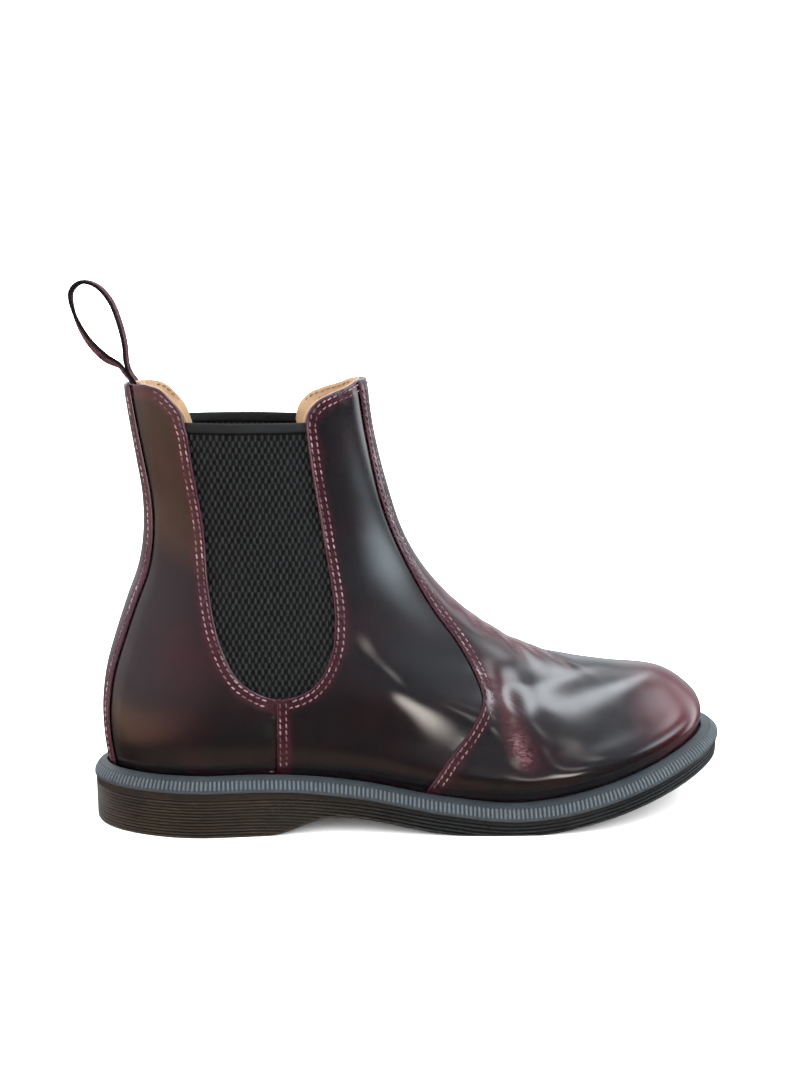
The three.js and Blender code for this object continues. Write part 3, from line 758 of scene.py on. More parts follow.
def sole_rubber():
    """Dark rubber, browner towards the heel, with painted shade in the side grooves and a painted highlight
    on the lands.
    """
    n = Nodes("sole_rubber")
    here = n.place()
    x = n.add("ShaderNodeSeparateXYZ", {"Vector": here}).outputs["X"]
    brown = n.ramp(x, 0.115, 0.02)
    cloud = n.noise(here, 60.0, 4.0, 0.6)
    base = n.mix(brown, rgb("1b1f21"), rgb("2d2419"))
    base = n.mix(n.ramp(cloud, 0.4, 0.75, 0.0, 0.5), base, rgb("120f0d"))
    # painted shade: near black in the side grooves; the band just under the welt is darkened too
    base = n.mix(n.ramp(n.attribute("tone"), 0.1, 0.8, 0.95, 0.0), base, rgb("020202"))
    # light specks on the lands between the grooves: partly dust, partly a painted highlight on the lands
    dust_and_sheen = n.math("MULTIPLY", n.ramp(n.noise(here, 800.0, 3.0, 0.7), 0.5, 0.75), n.attribute("tone"))
    base = n.mix(n.math("MULTIPLY", dust_and_sheen, 0.35), base, rgb("453d33"))
    n.set(Base_Color=base, Roughness=n.ramp(cloud, 0.3, 0.7, 0.3, 0.42))
    n.set(Specular_IOR_Level=0.5)
    n.set(Normal=n.bump(n.noise(here, 1100.0, 3.0), 0.08, 0.0001))
    return n.material


def webbing():
    """Woven tape: burgundy flecks between black yarns, black selvedges, and painted shade between the raised
    yarns.
    """
    n = Nodes("webbing")
    here = n.place()
    selvedge = n.attribute("edge")
    yarn = n.attribute("tone")
    fleck = n.noise(n.stretch(here, (1.0, 1.6, 1.0)), 620.0, 3.0, 0.6, 0.6)
    base = n.mix(n.ramp(fleck, 0.44, 0.54), rgb("0a0709"), rgb("5c2430"))
    base = n.mix(n.ramp(n.noise(here, 900.0, 2.0), 0.58, 0.68, 0.0, 0.7), base, rgb("7a4c57"))
    base = n.mix(selvedge, base, rgb("060708"))
    # painted shade in the hollows between the raised yarns
    base = n.mix(n.ramp(yarn, 0.0, 0.5, 0.6, 0.0), base, rgb("060506"))
    n.set(Base_Color=base, Roughness=0.7, Specular_IOR_Level=0.3)
    n.set(Normal=n.bump(n.noise(here, 2200.0, 3.0), 0.4, 0.0001))
    return n.material


def speckled(name, low, high, scale, roughness, stretch=(1.0, 1.0, 1.0), metal=0.0, bump=0.3):
    """A plain two-colour grain for the hidden layers."""
    n = Nodes(name)
    grain = n.noise(n.stretch(n.place(), stretch), scale, 4.0, 0.6)
    n.set(Base_Color=n.mix(n.ramp(grain, 0.35, 0.65), rgb(low), rgb(high)), Roughness=roughness)
    n.set(Metallic=metal)
    n.set(Normal=n.bump(grain, bump, 0.0002))
    return n.material


UPPER = leather()
LINING_SKIN = lining_leather()
ELASTIC = elastic()
TAPE = elastic_tape()
THREAD = stitch_thread("stitch_thread")
LINING_THREAD = stitch_thread("lining_thread", "7a5638", "8d6a48", "4c3018")
WELT = welt_rubber()
SOLE = sole_rubber()
WEBBING = webbing()
HIDDEN = {
    "insole_rib": speckled("rib_canvas", "b8ad97", "ddd4c2", 900.0, 0.9, (1.0, 1.0, 2.0)),
    "filler": speckled("cork", "6f4d2c", "b98c5c", 420.0, 0.95, bump=0.6),
    "shank": speckled("steel", "5f6368", "8d9298", 300.0, 0.35, (0.2, 3.0, 1.0), metal=1.0, bump=0.1),
    "insole_board": speckled("fibre_board", "6f5238", "967452", 500.0, 0.9),
    "heel_pad": speckled("foam", "b3ac9c", "d6cfc0", 700.0, 0.95, bump=0.6),
    "toe_puff": speckled("puff_stiffener", "a3957c", "c6b99f", 600.0, 0.9),
    "heel_counter": speckled("counter_stiffener", "a3957c", "c6b99f", 600.0, 0.9),
}
PLAIN_NODES = {**HIDDEN, "sock_liner": LINING_SKIN, "vamp_lining": LINING_SKIN}
for node_name, look in PLAIN_NODES.items():
    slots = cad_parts[node_name].data.materials
    slots.clear()
    slots.append(look)


# ------------------------------------------------------------------ outlines on the surface
BELOW = -0.09  # level of the upper's lower edge, under the welt's top face
COLLAR_BACK_Z = 188.6
BACK_TOP = float(locate([(18.5, COLLAR_BACK_Z)])[0, 1])
TAB_STEPS = 60


def between_levels(path, low, high):
    """The stretch of a rising (theta, v) path between two levels, ending exactly on them."""
    kept = path[(path[:, 1] > low) & (path[:, 1] < high)]
    ends = []
    for level in (low, high):
        near = np.interp(level, path[:, 1], path[:, 0])
        ends.append((near, min(max(level, path[0, 1]), path[-1, 1])))
    return np.vstack([ends[:1], kept, ends[1:]])


def level_path(v, start, end, count=80):
    return np.stack([np.linspace(start, end, count), np.full(count, v)], -1)


def other_side(path):
    return path * (-1, 1) + (TURN, 0)


def past_back(path):
    return path * (-1, 1)


def at_x(x, low_z, high_z):
    return locate(np.stack([np.full(80, x), np.linspace(low_z, high_z, 80)], -1))


def at_width(width, low, high, count=90):
    """Path up the back of the outer side at a fixed distance from the middle line."""
    v = np.linspace(low, high, count)
    near, far = np.full(count, 1e-4), np.full(count, 1.3)
    for _ in range(40):
        middle = (near + far) / 2
        reached = -surface(middle, v)[:, 1] < width
        near, far = np.where(reached, middle, near), np.where(reached, far, middle)
    return np.stack([near, v], -1)


def capped(path):
    path = path.copy()
    path[:, 1] = np.minimum(path[:, 1], 1.0)
    return path


vamp_side = between_levels(locate(curve(VAMP_EDGE, 170)), BELOW, 1.0)
vamp_under = locate(curve([(x + VAMP_OVERLAP, z) for x, z in VAMP_EDGE], 170))
vamp_under[:, 0] = np.minimum(vamp_under[:, 0], math.pi - 0.02)
vamp_under = between_levels(vamp_under, BELOW, 0.985)
front_tab = capped(locate(curve(FRONT_TAB, TAB_STEPS)))
back_tab = capped(locate(curve(BACK_TAB, TAB_STEPS)))
gore_line = curve(GORE_EDGE, 300)
gore_lowest = int(np.argmin(np.abs(gore_line[:, 0] - SIDE_SEAM_X) + (gore_line[:, 1] > 70) * 100))
gore_back = locate(gore_line[: gore_lowest + 1][gore_line[: gore_lowest + 1, 1] < 170.3])
gore_front = locate(gore_line[gore_lowest:][gore_line[gore_lowest:, 1] < 170.3])
seam = between_levels(at_x(SIDE_SEAM_X, 4, 66), BELOW, gore_front[0, 1])
vamp_top = front_tab[front_tab[:, 0] > vamp_side[-1, 0]]

VAMP_OUTLINE = [
    level_path(BELOW, vamp_side[0, 0], TURN - vamp_side[0, 0], 200),
    other_side(vamp_side),
    np.vstack([other_side(vamp_top), vamp_top[::-1]]),
    vamp_side[::-1],
]
quarter_top = front_tab[front_tab[:, 0] < vamp_under[-1, 0]]
FRONT_QUARTER_OUTLINE = [
    level_path(BELOW, seam[0, 0], vamp_under[0, 0]),
    vamp_under,
    quarter_top[::-1],
    gore_front[::-1],
    seam[::-1],
]
quarter_back = at_width(4.0, BELOW, BACK_TOP)
collar_back = locate([(x, COLLAR_BACK_Z) for x in np.linspace(26.4, 19.2, 14)])
collar_back = collar_back[collar_back[:, 0] > quarter_back[-1, 0] + 0.01]
BACK_QUARTER_OUTLINE = [
    level_path(BELOW, quarter_back[0, 0], seam[0, 0]),
    seam,
    gore_back[::-1],
    back_tab[::-1],
    collar_back,
    quarter_back[::-1],
]
strip_side = at_width(BACKSTAY_WIDTH / 2, BELOW, BACK_TOP)
BACKSTAY_OUTLINE = [
    level_path(BELOW, -strip_side[0, 0], strip_side[0, 0], 30),
    strip_side,
    level_path(BACK_TOP, strip_side[-1, 0], -strip_side[-1, 0], 30),
    past_back(strip_side)[::-1],
]
collar_end = collar_back[-1, 0] - 0.02
back_rim = np.vstack([
    collar_back,
    level_path(BACK_TOP, collar_end, -collar_end, 20),
    past_back(collar_back)[::-1],
])
BACK_LINING_OUTLINE = [
    level_path(BELOW, -seam[0, 0], seam[0, 0], 120),
    seam,
    gore_back[::-1],
    back_tab[::-1],
    back_rim,
    past_back(back_tab),
    past_back(gore_back),
    past_back(seam)[::-1],
]
lining_front = at_x(LINING_SEAM_X, 4, 110)
lining_front = between_levels(lining_front[lining_front[:, 0] < math.pi - 0.03], BELOW, 0.9)
FRONT_LINING_OUTLINE = [
    level_path(BELOW, seam[0, 0], lining_front[0, 0]),
    lining_front,
    other_side(lining_front)[::-1],
    level_path(BELOW, TURN - lining_front[0, 0], TURN - seam[0, 0]),
    other_side(seam),
    other_side(gore_front),
    other_side(front_tab),
    front_tab[::-1],
    gore_front[::-1],
    seam[::-1],
]


# ------------------------------------------------------------------ upper
# Flex creases over the vamp: x on the middle line, width, depth, how far down the sides, tilt
CREASES = [
    (166.0, 3.2, 0.55, 0.62, 8.0), (174.0, 2.2, 0.45, 0.5, 12.0), (183.0, 2.8, 0.7, 0.8, 16.0),
    (192.0, 2.0, 0.4, 0.55, 20.0), (201.0, 2.6, 0.55, 0.7, 24.0), (158.0, 2.4, 0.35, 0.5, 5.0),
]


def wander(a, seed):
    return np.sin(a * 5.1 + seed) + 0.6 * np.sin(a * 11.3 + seed * 2.7) + 0.3 * np.sin(a * 23.0 + seed * 4.1)


def crease_field(theta, solid):
    """Summed depth of the flex creases, and how close each point is to one."""
    aside = np.abs(theta - math.pi)
    depth = np.zeros(len(theta))
    near = np.zeros(len(theta))
    for k, (x, width, deep, limit, tilt) in enumerate(CREASES):
        line = x + tilt * aside**1.5 + 0.9 * wander(theta, k * 1.7)
        fade = 1 - ease(limit * 0.55, limit, aside)
        shape = np.exp(-(((solid[:, 0] - line) / width) ** 2)) * fade
        swell = np.exp(-(((solid[:, 0] - line - 2.6 * width) / (1.9 * width)) ** 2)) * fade
        depth += 0.65 * deep * (0.8 * swell - shape)
        near = np.maximum(near, shape)
    return depth, near


FLEX_LINE = (183.0, 35.0, -0.28)  # x at a height, and how x changes with height


def flex_dent(solid):
    """The fold down each side of the vamp where the foot bends, and the swellings beside it."""
    x, y, z = solid.T
    at, level, lean = FLEX_LINE
    off = x - at - lean * (z - level)
    mask = ease(10, 26, np.abs(y)) * ease(21, 34, z) * (1 - ease(62, 80, z)) * np.where(y < 0, 1, 0.75)
    fold = np.exp(-((off / 5.2) ** 2))
    swell = 0.9 * np.exp(-(((off - 10) / 6.0) ** 2)) + 0.75 * np.exp(-(((off + 10) / 5.5) ** 2))
    return 0.55 * mask * (swell - 0.95 * fold), mask * fold


STITCH_ROWS = (1.5, 4.0)


def stitch_dent(away):
    return sum(-0.16 * np.exp(-(((away - row) / 0.55) ** 2)) for row in STITCH_ROWS)


def vamp_relief(theta, v, solid, away):
    depth, _ = crease_field(theta, solid)
    dent, _ = flex_dent(solid)
    return (depth + dent) * ease(2.0, 9.0, away) + stitch_dent(away)


def vamp_tone(theta, v, solid, away):
    """Burgundy shows on the toe, along the instep ridge and in the creases."""
    x, y, z = solid.T
    _, near = crease_field(theta, solid)
    aside = np.abs(theta - math.pi)
    _, fold = flex_dent(solid)
    toe = ease(228, 266, x) * ease(18, 44, z) * 0.6
    ridge = np.exp(-((aside / 0.42) ** 2)) * ease(136, 158, x) * (1 - ease(190, 215, x)) * 0.7
    shown = np.clip(np.maximum.reduce([toe, ridge, near * 0.3, fold * 0.3]), 0, 1)
    low = fold**2 * (1 - ease(34, 50, z))
    return shown, np.clip(np.maximum(near * 0.12, low * 0.5), 0, 1)


def quarter_relief(theta, v, solid, away):
    return stitch_dent(away)


def quarter_tone(theta, v, solid, away):
    shown = 0.12 * np.exp(-(((solid[:, 0] - 40) / 16) ** 2) - ((solid[:, 2] - 75) / 25) ** 2)
    return shown, np.zeros(len(theta))


FRONT = {"relief": quarter_relief, "dip": 0.15}
BACK = {"relief": quarter_relief, "tone": quarter_tone, "dip": 0.15}
panel("vamp", VAMP_OUTLINE, OVERLAY, (1, 2, 3), relief=vamp_relief, tone=vamp_tone)
panel("front_quarter_lateral", FRONT_QUARTER_OUTLINE, QUARTER, (2, 3, 4), **FRONT)
panel("front_quarter_medial", mirrored(FRONT_QUARTER_OUTLINE), QUARTER, (0, 1, 2), **FRONT)
panel("back_quarter_lateral", BACK_QUARTER_OUTLINE, QUARTER, (2, 3, 4), **BACK)
panel("back_quarter_medial", mirrored(BACK_QUARTER_OUTLINE), QUARTER, (1, 2, 3), **BACK)
panel("backstay", BACKSTAY_OUTLINE, OVERLAY, (1, 2, 3), step=(0.04, 0.0095))

# ------------------------------------------------------------------ stitching
ON_OVERLAY = -0.12  # heights of the thread over the boot's surface
ON_QUARTER = -QUARTER[0] - 0.12
CLEAR_OF_WELT = 1.6
SHORT_ENDS = (2, 2)  # points left out at the ends of a row
LONG_ENDS = (4, 4)
EDGE_ROW = 2.2  # inset of a single row
TAB_LOW = 178  # the lining's stitches show only above this height


def outline_stitches(outline, parts, inset, height, ends=SHORT_ENDS):
    """A row of stitches inside parts of a panel's outline, above the welt only."""
    path = stitch_points(parts, outline, inset, ends)
    solid = surface(path[:, 0], path[:, 1])
    return stitches(path[solid[:, 2] > welt_top(solid[:, 0]) + CLEAR_OF_WELT], height)


for row_name, outline, parts, level, ends in (
    ("vamp_stitching_lateral", VAMP_OUTLINE, (3,), ON_OVERLAY, LONG_ENDS),
    ("vamp_stitching_medial", VAMP_OUTLINE, (1,), ON_OVERLAY, LONG_ENDS),
    ("front_gore_stitching_lateral", FRONT_QUARTER_OUTLINE, (2, 3), ON_QUARTER, LONG_ENDS),
    ("back_gore_stitching_lateral", BACK_QUARTER_OUTLINE, (2, 3), ON_QUARTER, LONG_ENDS),
    ("front_gore_stitching_medial", mirrored(FRONT_QUARTER_OUTLINE), (1, 2), ON_QUARTER, LONG_ENDS),
    ("back_gore_stitching_medial", mirrored(BACK_QUARTER_OUTLINE), (2, 3), ON_QUARTER, LONG_ENDS),
    ("side_seam_stitching_lateral", FRONT_QUARTER_OUTLINE, (4,), ON_QUARTER, SHORT_ENDS),
    ("side_seam_stitching_medial", mirrored(FRONT_QUARTER_OUTLINE), (0,), ON_QUARTER, SHORT_ENDS),
):
    rows = [outline_stitches(outline, parts, inset, level, ends) for inset in STITCH_ROWS]
    thread(row_name, rows, THREAD)

rows = [outline_stitches(BACKSTAY_OUTLINE, (part,), EDGE_ROW, ON_OVERLAY) for part in (1, 3)]
thread("backstay_stitching", rows, THREAD)

for row_name, outline, parts in (
    ("lining_stitching_back_lateral", BACK_QUARTER_OUTLINE, (2, 3)),
    ("lining_stitching_back_medial", mirrored(BACK_QUARTER_OUTLINE), (2, 3)),
    ("lining_stitching_front_lateral", FRONT_QUARTER_OUTLINE, (2, 3)),
    ("lining_stitching_front_medial", mirrored(FRONT_QUARTER_OUTLINE), (1, 2)),
):
    rows = []
    for inset in STITCH_ROWS:
        path = stitch_points(parts, outline, inset, LONG_ENDS)
        path = path[surface(path[:, 0], path[:, 1])[:, 2] > TAB_LOW]
        rows.append(stitches(path, LINING_HUG - LINING[0] - LINING[1] - 0.05, outward=-1))
    thread(row_name, rows, LINING_THREAD)
thread("vamp_top_stitching", [outline_stitches(VAMP_OUTLINE, (2,), EDGE_ROW, ON_OVERLAY)], THREAD)

# ------------------------------------------------------------------ elastic
WEAVE_ACROSS = 2.75  # from one raised stroke to the next in a row
WEAVE_ROWS = 5.0  # two staggered rows
STROKE_WIDTH = 0.62  # half width, at half height
STROKE_HEIGHT = 1.45
GORE_STEP = 0.42
GORE_COLUMNS = 190
GORE_LOW = 52.0
GORE_SIDE = 6.0  # hidden under the leather


def weave(x, z):
    """Height of the raised strokes, 0 to 1: a brick pattern of short upright ribs."""
    raised = np.zeros(np.shape(x))
    for shift in (0.0, 0.5):
        across = ((x / WEAVE_ACROSS + shift) % 1 - 0.5) * WEAVE_ACROSS
        up = ((z / WEAVE_ROWS + shift) % 1 - 0.5) * WEAVE_ROWS
        stroke = np.exp(-np.abs(across / STROKE_WIDTH) ** 3) * np.exp(-np.abs(up / STROKE_HEIGHT) ** 4)
        raised = np.maximum(raised, stroke)
    return raised


def gore_span(z):
    """Back and front of the elastic at a height, hidden margins included."""
    back = gore_line[: gore_lowest + 1][::-1]
    front = gore_line[gore_lowest:]
    low = np.maximum(z, gore_line[:, 1].min() + 1.0)
    start = np.interp(low, back[:, 1], back[:, 0])
    end = np.interp(low, front[:, 1], front[:, 0])
    middle, half = (start + end) / 2, (end - start) / 2
    squeeze = np.sqrt(np.clip(1 - (np.clip(62 - z, 0, 10) / 11.5) ** 2, 0.05, 1))
    return middle - (half + GORE_SIDE) * squeeze, middle + (half + GORE_SIDE) * squeeze


def gore(name, medial):
    high = GORE_TOP - 1.0
    rows, columns = int((high - GORE_LOW) / GORE_STEP), GORE_COLUMNS
    z = np.linspace(GORE_LOW, high, rows)
    start, end = gore_span(z)
    share = np.linspace(0, 1, columns)
    x = start[:, None] + (end - start)[:, None] * share
    z = np.repeat(z[:, None], columns, 1)
    spot = locate(np.stack([x.ravel(), z.ravel()], -1))
    raised = weave(x, z).ravel()
    plain_top = ease(GORE_TOP - 5.2, GORE_TOP - 4.0, z.ravel())
    raised = raised * (1 - plain_top)
    depth, thickness = CORE
    theta = TURN - spot[:, 0] if medial else spot[:, 0]
    outer = place(theta, spot[:, 1], -depth - 0.6 + 0.7 * raised)
    inner_weave = weave(x.ravel() + 1.3, z.ravel() + 1.2) * (1 - plain_top)
    inner = place(theta, spot[:, 1], -depth - thickness + 0.25 - 0.2 * inner_weave)
    count = rows * columns
    faces = grid_faces(rows, columns, 0, flip=medial).tolist()
    faces += grid_faces(rows, columns, count, flip=not medial).tolist()
    faces += walls(grid_rim(rows, columns), count, flip=medial)
    # the weave's height, which the elastic's colour uses to paint a highlight on the raised strokes and shade
    # in the hollows
    tone = np.concatenate([raised, inner_weave])
    piece = make_mesh(name, np.vstack([outer, inner]), faces, {"tone": tone})
    finish_piece(piece, ELASTIC, replaces=(name,))


gore("gore_lateral", False)
gore("gore_medial", True)

# the tape's section: depth under the surface and height, from its outer foot over the top
TAPE_SECTION = [(3.12, 169.6), (3.06, 170.0), (3.06, 172.6), (3.2, 173.1), (3.5, 173.4), (3.95, 173.5),
                (4.4, 173.4), (4.7, 173.1), (4.84, 172.6), (4.84, 170.0), (4.78, 169.6), (4.5, 169.6),
                (4.5, 172.7), (3.4, 172.7), (3.4, 169.6)]
TAPE_ENDS = (39.5, 98.0)
TAPE_COLUMNS = 180
TAPE_RIPPLE = (0.03, 1.1)  # height and length of the weave's waves


def binding(name, medial):
    x = np.linspace(*TAPE_ENDS, TAPE_COLUMNS)
    rings = []
    for depth, z in TAPE_SECTION:
        spot = locate(np.stack([x, np.full(len(x), z)], -1))
        theta = TURN - spot[:, 0] if medial else spot[:, 0]
        ripple = TAPE_RIPPLE[0] * np.sin(x * TURN / TAPE_RIPPLE[1])
        rings.append(place(theta, spot[:, 1], -depth + ripple))
    points = np.stack(rings, 1).reshape(-1, 3)
    n = len(TAPE_SECTION)
    faces = grid_faces(len(x), n, 0, flip=not medial, ring=True).tolist()
    first = tuple(range(n))
    last = tuple((len(x) - 1) * n + i for i in range(n))
    faces += [first if medial else first[::-1], last[::-1] if medial else last]
    finish_piece(make_mesh(name, points, faces), TAPE, replaces=(name,))


binding("gore_binding_lateral", False)
binding("gore_binding_medial", True)


# ------------------------------------------------------------------ linings
def lining(name, outline):
    """Thin leather on the inside. Over the tabs it lies against the quarters."""
    loop, _ = dense(outline, 1.5)
    fine = fill(loop, 0.9, 0.032, 0.012)
    border = tree_of(surface(loop[:, 0], loop[:, 1]))
    ring = step_inward(loop, 0.35)
    ring = ring[distances(border, surface(ring[:, 0], ring[:, 1])) > 0.25]
    ring = ring[inside(loop, ring)]
    points, faces = triangulate(loop, np.vstack([ring, fine]))
    theta, v = points[:, 0], points[:, 1]
    solid = surface(theta, v)
    away = distances(border, solid)
    away[: len(loop)] = 0
    hug = ease(174, 181, solid[:, 2]) * ease(11.5, 16, np.abs(solid[:, 1]) + 30 * (solid[:, 0] > 60))
    depth = LINING[0] - LINING_HUG * hug
    round_edge = 0.3 * (1 - ease(0, 0.6, away))
    pucker = 0.12 * np.sin(solid[:, 2] * 0.35 + 3 * np.sin(theta * 4)) * ease(2, 8, away)
    outer = place(theta, v, -depth - round_edge)
    inner = place(theta, v, -depth - LINING[1] + round_edge + pucker)
    count = len(points)
    faces = oriented(faces, outer, theta, v)
    everything = [tuple(f) for f in faces] + [tuple(count + i for i in reversed(f)) for f in faces]
    everything += walls(list(range(len(loop))), count)
    piece = make_mesh(name, np.vstack([outer, inner]), everything)
    finish_piece(piece, LINING_SKIN, replaces=(name,))


lining("front_lining", FRONT_LINING_OUTLINE)
lining("back_lining", BACK_LINING_OUTLINE)


# ------------------------------------------------------------------ welt and sole
RIBS = 350
RIB_SAMPLES = 7
AROUND = 4001


def evenly_round(count):
    """Angles round the foot that are evenly spaced along the welt."""
    theta = np.linspace(0, TURN, AROUND)
    path = foot_loop(theta, np.full(AROUND, 5.0))
    length = running_length(path)
    return np.interp(np.linspace(0, length[-1], count, endpoint=False), length, theta)


def stack_rings(theta, rows):
    """Loops round the foot, one for each row of (reach, height), both given as functions of x."""
    here = foot_loop(theta, np.zeros(len(theta)))[:, 0]
    layers = []
    for reach_by, height_at in rows:
        ring = foot_loop(theta, reach_by(here))
        ring[:, 2] = height_at(ring[:, 0])
        layers.append(ring)
    return layers


# the welt's section: share of its reach, drop below its top face, and how far the ribs show
WELT_SECTION = [
    (0.02, 0.0, 0), (0.1, 0.12, 0), (0.25, 0.5, 0), (0.42, 0.98, 0), (0.5, 1.15, 0), (0.56, 1.5, 0.15),
    (0.6, 1.62, 1), (0.7, 2.2, 1), (0.8, 2.95, 1), (0.9, 3.85, 1), (0.965, 4.55, 0.9), (0.985, 4.9, 0.15),
    (1.0, 5.2, 0), (1.0, 5.9, 0), (0.975, 6.2, 0),
]
WELT_INNER = 0.4  # clear of the upper
RIB_HEIGHT = 0.5


def welt():
    columns = RIBS * RIB_SAMPLES
    theta = evenly_round(columns)
    phase = (np.arange(columns) % RIB_SAMPLES) / RIB_SAMPLES
    crest = np.clip(0.5 + 0.75 * np.cos(TURN * phase), 0, 1)
    rows, tone = [], []
    for share, drop, rib in WELT_SECTION:
        lift = rib * RIB_HEIGHT * (crest - 0.6)

        def reach_by(x, share=share, lift=lift):
            return WELT_INNER + (welt_reach(x) - WELT_INNER) * share + lift * 0.6

        def height_at(x, drop=drop, lift=lift):
            return welt_top(x) - drop + lift

        rows.append((reach_by, height_at))
        # how much the welt's colour is painted lighter: a painted highlight, full on the rib crests and a
        # quarter as much on the smooth bands
        tone.append(np.full(columns, 0.25 if rib == 0 else 0.0) + (rib > 0.5) * crest)
    back_edge = ((SHELF_REACH, WELT_SIDE), (SHELF_REACH, WELT_THICKNESS), (WELT_INNER, WELT_THICKNESS))
    for reach_out, drop in back_edge:
        rows.append((lambda x, r=reach_out: np.full(len(x), r), lambda x, d=drop: welt_top(x) - d))
        tone.append(np.zeros(columns))
    faces = grid_faces(len(rows), columns, ring=True).tolist()
    faces += join_rings((len(rows) - 1) * columns, 0, columns, 1, down=False)
    points = np.vstack(stack_rings(theta, rows[::-1]))
    piece = make_mesh("welt", points, faces, {"tone": np.concatenate(tone[::-1])})
    finish_piece(piece, WELT, replaces=("welt",))


GROOVE_PITCH = (1.35, 1.65)  # at the heel and at the forepart
GROOVE_DEPTH = 0.84
SIDE_ROWS = 80
SOLE_COLUMNS = 1100


def outsole():
    theta = evenly_round(SOLE_COLUMNS)
    here = foot_loop(theta, np.zeros(SOLE_COLUMNS))[:, 0]

    def rim(x):
        return welt_top(x) - WELT_SIDE - GAP

    heel_band = lerp(2.6, 1.0, ease(60, 150, here))
    pitch = lerp(*GROOVE_PITCH, ease(60, 150, here))
    rows, tone = [], []
    for k in range(SIDE_ROWS + 1):
        share = k / SIDE_ROWS
        height = lerp(sole_bottom(here), rim(here), share)
        down = rim(here) - height
        up = height - sole_bottom(here)
        wave = np.clip(0.5 + 0.9 * np.cos(TURN * (down - heel_band) / pitch), 0, 1)
        cut = (1 - wave) * ease(0.0, 0.4, down - heel_band) * ease(0.7, 1.1, up)
        flare = np.interp(share, [0, 0.1, 1], [-0.8, -0.45, -0.2])
        toe_in = 0.35 * (1 - ease(0, 0.8, up))
        reach = welt_reach(here) - 0.35 + flare - GROOVE_DEPTH * cut - toe_in
        rows.append((lambda x, r=reach: r, lambda x, s=share: lerp(sole_bottom(x), rim(x), s)))
        # low in the grooves and in the band under the welt, high on the lands: the sole's colour uses it to
        # paint shade in the grooves and a highlight on the lands
        tone.append((1 - cut) * (0.35 + 0.65 * ease(-0.4, 0.2, down - heel_band)))
    inner = SHELF_REACH - GAP
    rows.append((lambda x: np.full(len(x), inner), rim))
    rows.append((lambda x: np.full(len(x), inner), lambda x: welt_top(x) - WELT_THICKNESS - GAP))
    tone += [np.zeros(len(theta))] * 2
    layers = stack_rings(theta, rows)
    count, columns = len(layers), SOLE_COLUMNS
    points = list(layers)
    faces = grid_faces(count, columns, ring=True).tolist()
    # the underside and the bed: rings that shrink onto the middle line
    bottom = sheet_rings(layers[0], sole_bottom, tread)
    start = sum(len(p) for p in points)
    points += bottom
    faces += join_rings(0, start, columns, len(bottom), down=True)
    bed = sheet_rings(layers[-1], lambda x: welt_top(x) - WELT_THICKNESS - GAP)
    start = sum(len(p) for p in points)
    points += bed
    faces += join_rings((count - 1) * columns, start, columns, len(bed), down=False)
    tones = np.concatenate(tone + [np.zeros(sum(len(b) for b in bottom + bed))])
    piece = make_mesh("outsole", np.vstack(points), faces, {"tone": tones})
    finish_piece(piece, SOLE, replaces=("outsole",))


def tread(points):
    """Shallow slanting grooves in the underside."""
    x, y = points[:, 0], points[:, 1]
    wave = np.cos(TURN * (x + 0.55 * np.abs(y)) / 7.0)
    inside_edge = 1 - ease(60, 75, x) * (1 - ease(125, 140, x))
    return 0.9 * ease(0.35, 0.6, wave) * inside_edge


def sheet_rings(rim, height_at, relief=None, count=36):
    """Rings from a rim towards the foot's middle line."""
    centre_x = np.clip(rim[:, 0], 38, 245)
    rings = []
    for k in range(1, count + 1):
        share = k / count
        ring = rim.copy()
        ring[:, 0] = lerp(rim[:, 0], centre_x, share)
        ring[:, 1] = lerp(rim[:, 1], 0.02 * np.sign(rim[:, 1]), share)
        ring[:, 2] = height_at(ring[:, 0])
        if relief is not None and k > 1:
            ring[:, 2] += relief(ring)
        rings.append(ring)
    return rings


def join_rings(rim_start, start, columns, count, down):
    """Quads from a rim through the rings that follow each other from start."""
    faces = []
    previous = rim_start
    for k in range(count):
        current = start + k * columns
        for i in range(columns):
            j = (i + 1) % columns
            quad = (previous + i, previous + j, current + j, current + i)
            faces.append(quad[::-1] if down else quad)
        previous = current
    return faces


welt()
outsole()


# ------------------------------------------------------------------ pull loop
LOOP_HOLE = [(19.4, 196.6), (19.1, 204), (17.2, 213), (13.6, 222.4), (8.4, 228), (3.2, 229.2),
             (-0.4, 226), (0.5, 217.5), (5.6, 206.8), (12.6, 199.4)]
WEBBING_THICKNESS = 1.7
TAIL_THICKNESS = 0.62
TAIL_LOW = 164.0
TAIL_HIGH = 187.5
YARN_PITCH = 1.25
YARN_RELIEF = 0.16
WEFT_PITCH = 1.3
LOOP_TWIST = 0.2  # the rear half of the loop leans, so that its inner face shows from the side


def loop_path():
    """Middle of the webbing, seen from the side: up the front tail, round, and down the back tail."""
    v = locate([(20.0, z) for z in np.linspace(TAIL_LOW, TAIL_HIGH, 8)])[:, 1]
    depth = CORE[0]
    front = place(np.zeros(8), v, np.full(8, -depth - 0.97))[:, [0, 2]]
    back = place(np.zeros(8), v, np.full(8, -depth - 0.33))[:, [0, 2]]
    hole = np.array(LOOP_HOLE)
    run = np.roll(hole, -1, 0) - np.roll(hole, 1, 0)
    out = unit(np.stack([run[:, 1], -run[:, 0]], -1))
    ring = hole + out * WEBBING_THICKNESS / 2
    points = np.vstack([front, [(20.6, 193.2)], ring[1:], [(17.2, 195.6)], [(19.1, 192.4)], back[::-1]])
    return curve(points, 420)


